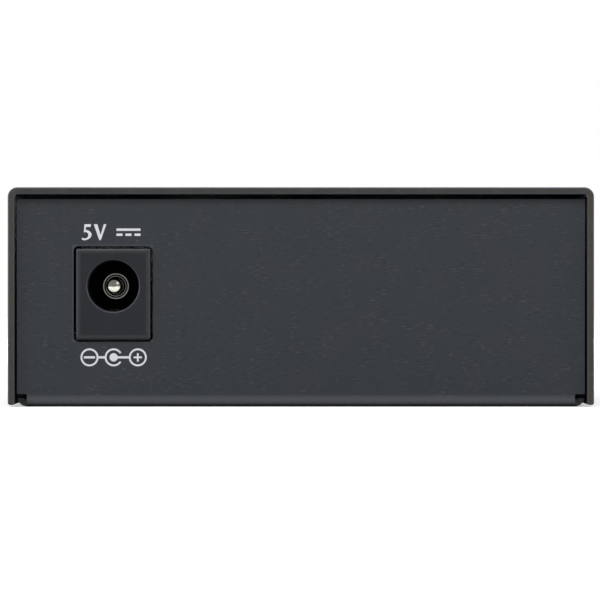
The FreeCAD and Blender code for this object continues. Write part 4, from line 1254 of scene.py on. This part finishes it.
# ---------------------------------------------------------------- stage
class CONVERTER_OT_stage(bpy.types.Operator):
    """Lays the floor and sets the light and the camera"""

    bl_idname = "converter.stage"
    bl_label = "Stage"

    floor_size = 6000
    floor_level = -0.03
    contact = (32, 44)
    sensor = 36.0
    camera_side = 0.108
    camera_height = 12.84
    glow_near = 0.46
    glow_start = 250
    glow_end = 900
    reflected_near = 0.05
    reflected_start = 40
    reflected_end = 400
    lamps = (
        ("key_light", (100, 700, 950), 650, 12.8),
        ("left_light", (900, 300, 250), 500, 4.6),
        ("right_light", (-900, 200, 250), 500, 3.8),
        ("far_light", (-200, -900, 300), 600, 6.2),
    )

    def execute(self, context):
        settings = context.scene.converter_stage
        self.lay_floor(settings)
        self.light_world(settings)
        for name, place, size, power in self.lamps:
            self.hang_light(name, Vector(place) * MM, size * MM, power)
        self.set_camera(context, settings)
        context.scene.view_settings.view_transform = "Standard"
        return {"FINISHED"}

    def lay_floor(self, settings):
        """A pale floor that shows from above only and stays open under the flat bottom of the case."""
        finish = Finish("studio_floor")
        grain = finish.noise(300.0, 2.0)
        away = finish.node("VectorMath", {"operation": "LENGTH"}, {"Vector": finish.place}, "Value")
        bright = finish.graded(away, self.glow_start * MM, self.glow_end * MM, self.glow_near, 1.0)
        start, end = self.reflected_start * MM, self.reflected_end * MM
        mirrored = finish.graded(away, start, end, self.reflected_near, 1.0)
        seen = finish.ray("Camera").larger(finish.ray("Transmission"))
        light = (seen * bright).larger(finish.ray("Glossy") * mirrored)
        glow = finish.mix(light, grey(0.0), grey(1.0))
        across, along = (
            finish.size_of(finish.axis(finish.place, way)).above(half * MM)
            for way, half in zip("XY", self.contact)
        )
        below = finish.node("NewGeometry", out="Backfacing")
        material = finish.surface(
            Base_Color=finish.mix(grain, settings.floor, shade(settings.floor, 0.99)),
            Roughness=0.9,
            Specular_IOR_Level=0.0,
            Alpha=across.larger(along) * (1 - below),
            Emission_Color=glow,
            Emission_Strength=1.0,
        )
        bm = bmesh.new()
        bmesh.ops.create_grid(bm, x_segments=1, y_segments=1, size=self.floor_size / 2)
        bmesh.ops.translate(bm, vec=(0, 0, self.floor_level), verts=bm.verts)
        finished(bm, "floor", material)

    def light_world(self, settings):
        """Soft light from all round, which the camera, mirrors and glass see as plain white."""
        world = bpy.data.worlds.new("studio")
        bpy.context.scene.world = world
        world.use_nodes = True
        nodes = Nodes(world.node_tree)
        seen = nodes.ray("Camera").larger(nodes.ray("Glossy")).larger(nodes.ray("Transmission"))
        strength = nodes.graded(seen, 0.0, 1.0, settings.daylight, 1.0)
        background = nodes.node("Background", None, {"Color": grey(1.0), "Strength": strength})
        nodes.node("OutputWorld", None, {"Surface": background})

    def hang_light(self, name, place, size, power):
        light = bpy.data.lights.new(name, "AREA")
        light.size = size
        light.energy = power
        lamp = linked(name, light)
        lamp.location = place
        lamp.rotation_euler = (-place).to_track_quat("-Z", "Y").to_euler()

    def set_camera(self, context, settings):
        data = bpy.data.cameras.new("camera")
        data.sensor_width = self.sensor
        data.lens = self.sensor * settings.camera_distance / settings.view_width
        data.clip_start = 0.01
        camera = linked("camera", data)
        rear = CAD_BOX[1][1]
        camera.location = (self.camera_side * MM, rear + settings.camera_distance, self.camera_height * MM)
        camera.rotation_euler = (math.radians(90), 0, math.radians(180))
        context.scene.camera = camera


# ---------------------------------------------------------------- panel and registration
PIECE_OPERATORS = (
    CONVERTER_OT_case,
    CONVERTER_OT_screws,
    CONVERTER_OT_power_socket,
    CONVERTER_OT_markings,
    CONVERTER_OT_copper_port,
    CONVERTER_OT_fibre_port,
    CONVERTER_OT_lamps,
    CONVERTER_OT_board,
    CONVERTER_OT_board_parts,
    CONVERTER_OT_stage,
)
SETTINGS = {
    "converter_case": CaseSettings,
    "converter_socket": SocketSettings,
    "converter_markings": MarkingSettings,
    "converter_stage": StageSettings,
}


class CONVERTER_PT_pieces(bpy.types.Panel):
    """Settings and pieces of the converter"""

    bl_idname = "CONVERTER_PT_pieces"
    bl_label = "Fibre media converter"
    bl_space_type = "VIEW_3D"
    bl_region_type = "UI"
    bl_category = "Converter"

    def draw(self, context):
        for name, group in SETTINGS.items():
            box = self.layout.box()
            box.label(text=group.__doc__)
            for setting in group.__annotations__:
                box.prop(getattr(context.scene, name), setting)
        for operator in PIECE_OPERATORS:
            self.layout.operator(operator.bl_idname)


CLASSES = tuple(SETTINGS.values()) + PIECE_OPERATORS + (CONVERTER_PT_pieces,)


def register():
    for cls in CLASSES:
        bpy.utils.register_class(cls)
    for name, group in SETTINGS.items():
        setattr(bpy.types.Scene, name, bpy.props.PointerProperty(type=group))


def unregister():
    for name in SETTINGS:
        delattr(bpy.types.Scene, name)
    for cls in reversed(CLASSES):
        bpy.utils.unregister_class(cls)


def main():
    """Makes every piece and the stage."""
    register()
    for operator in PIECE_OPERATORS:
        group, name = operator.bl_idname.split(".")
        getattr(getattr(bpy.ops, group), name)()


if __name__ == "__main__":
    main()
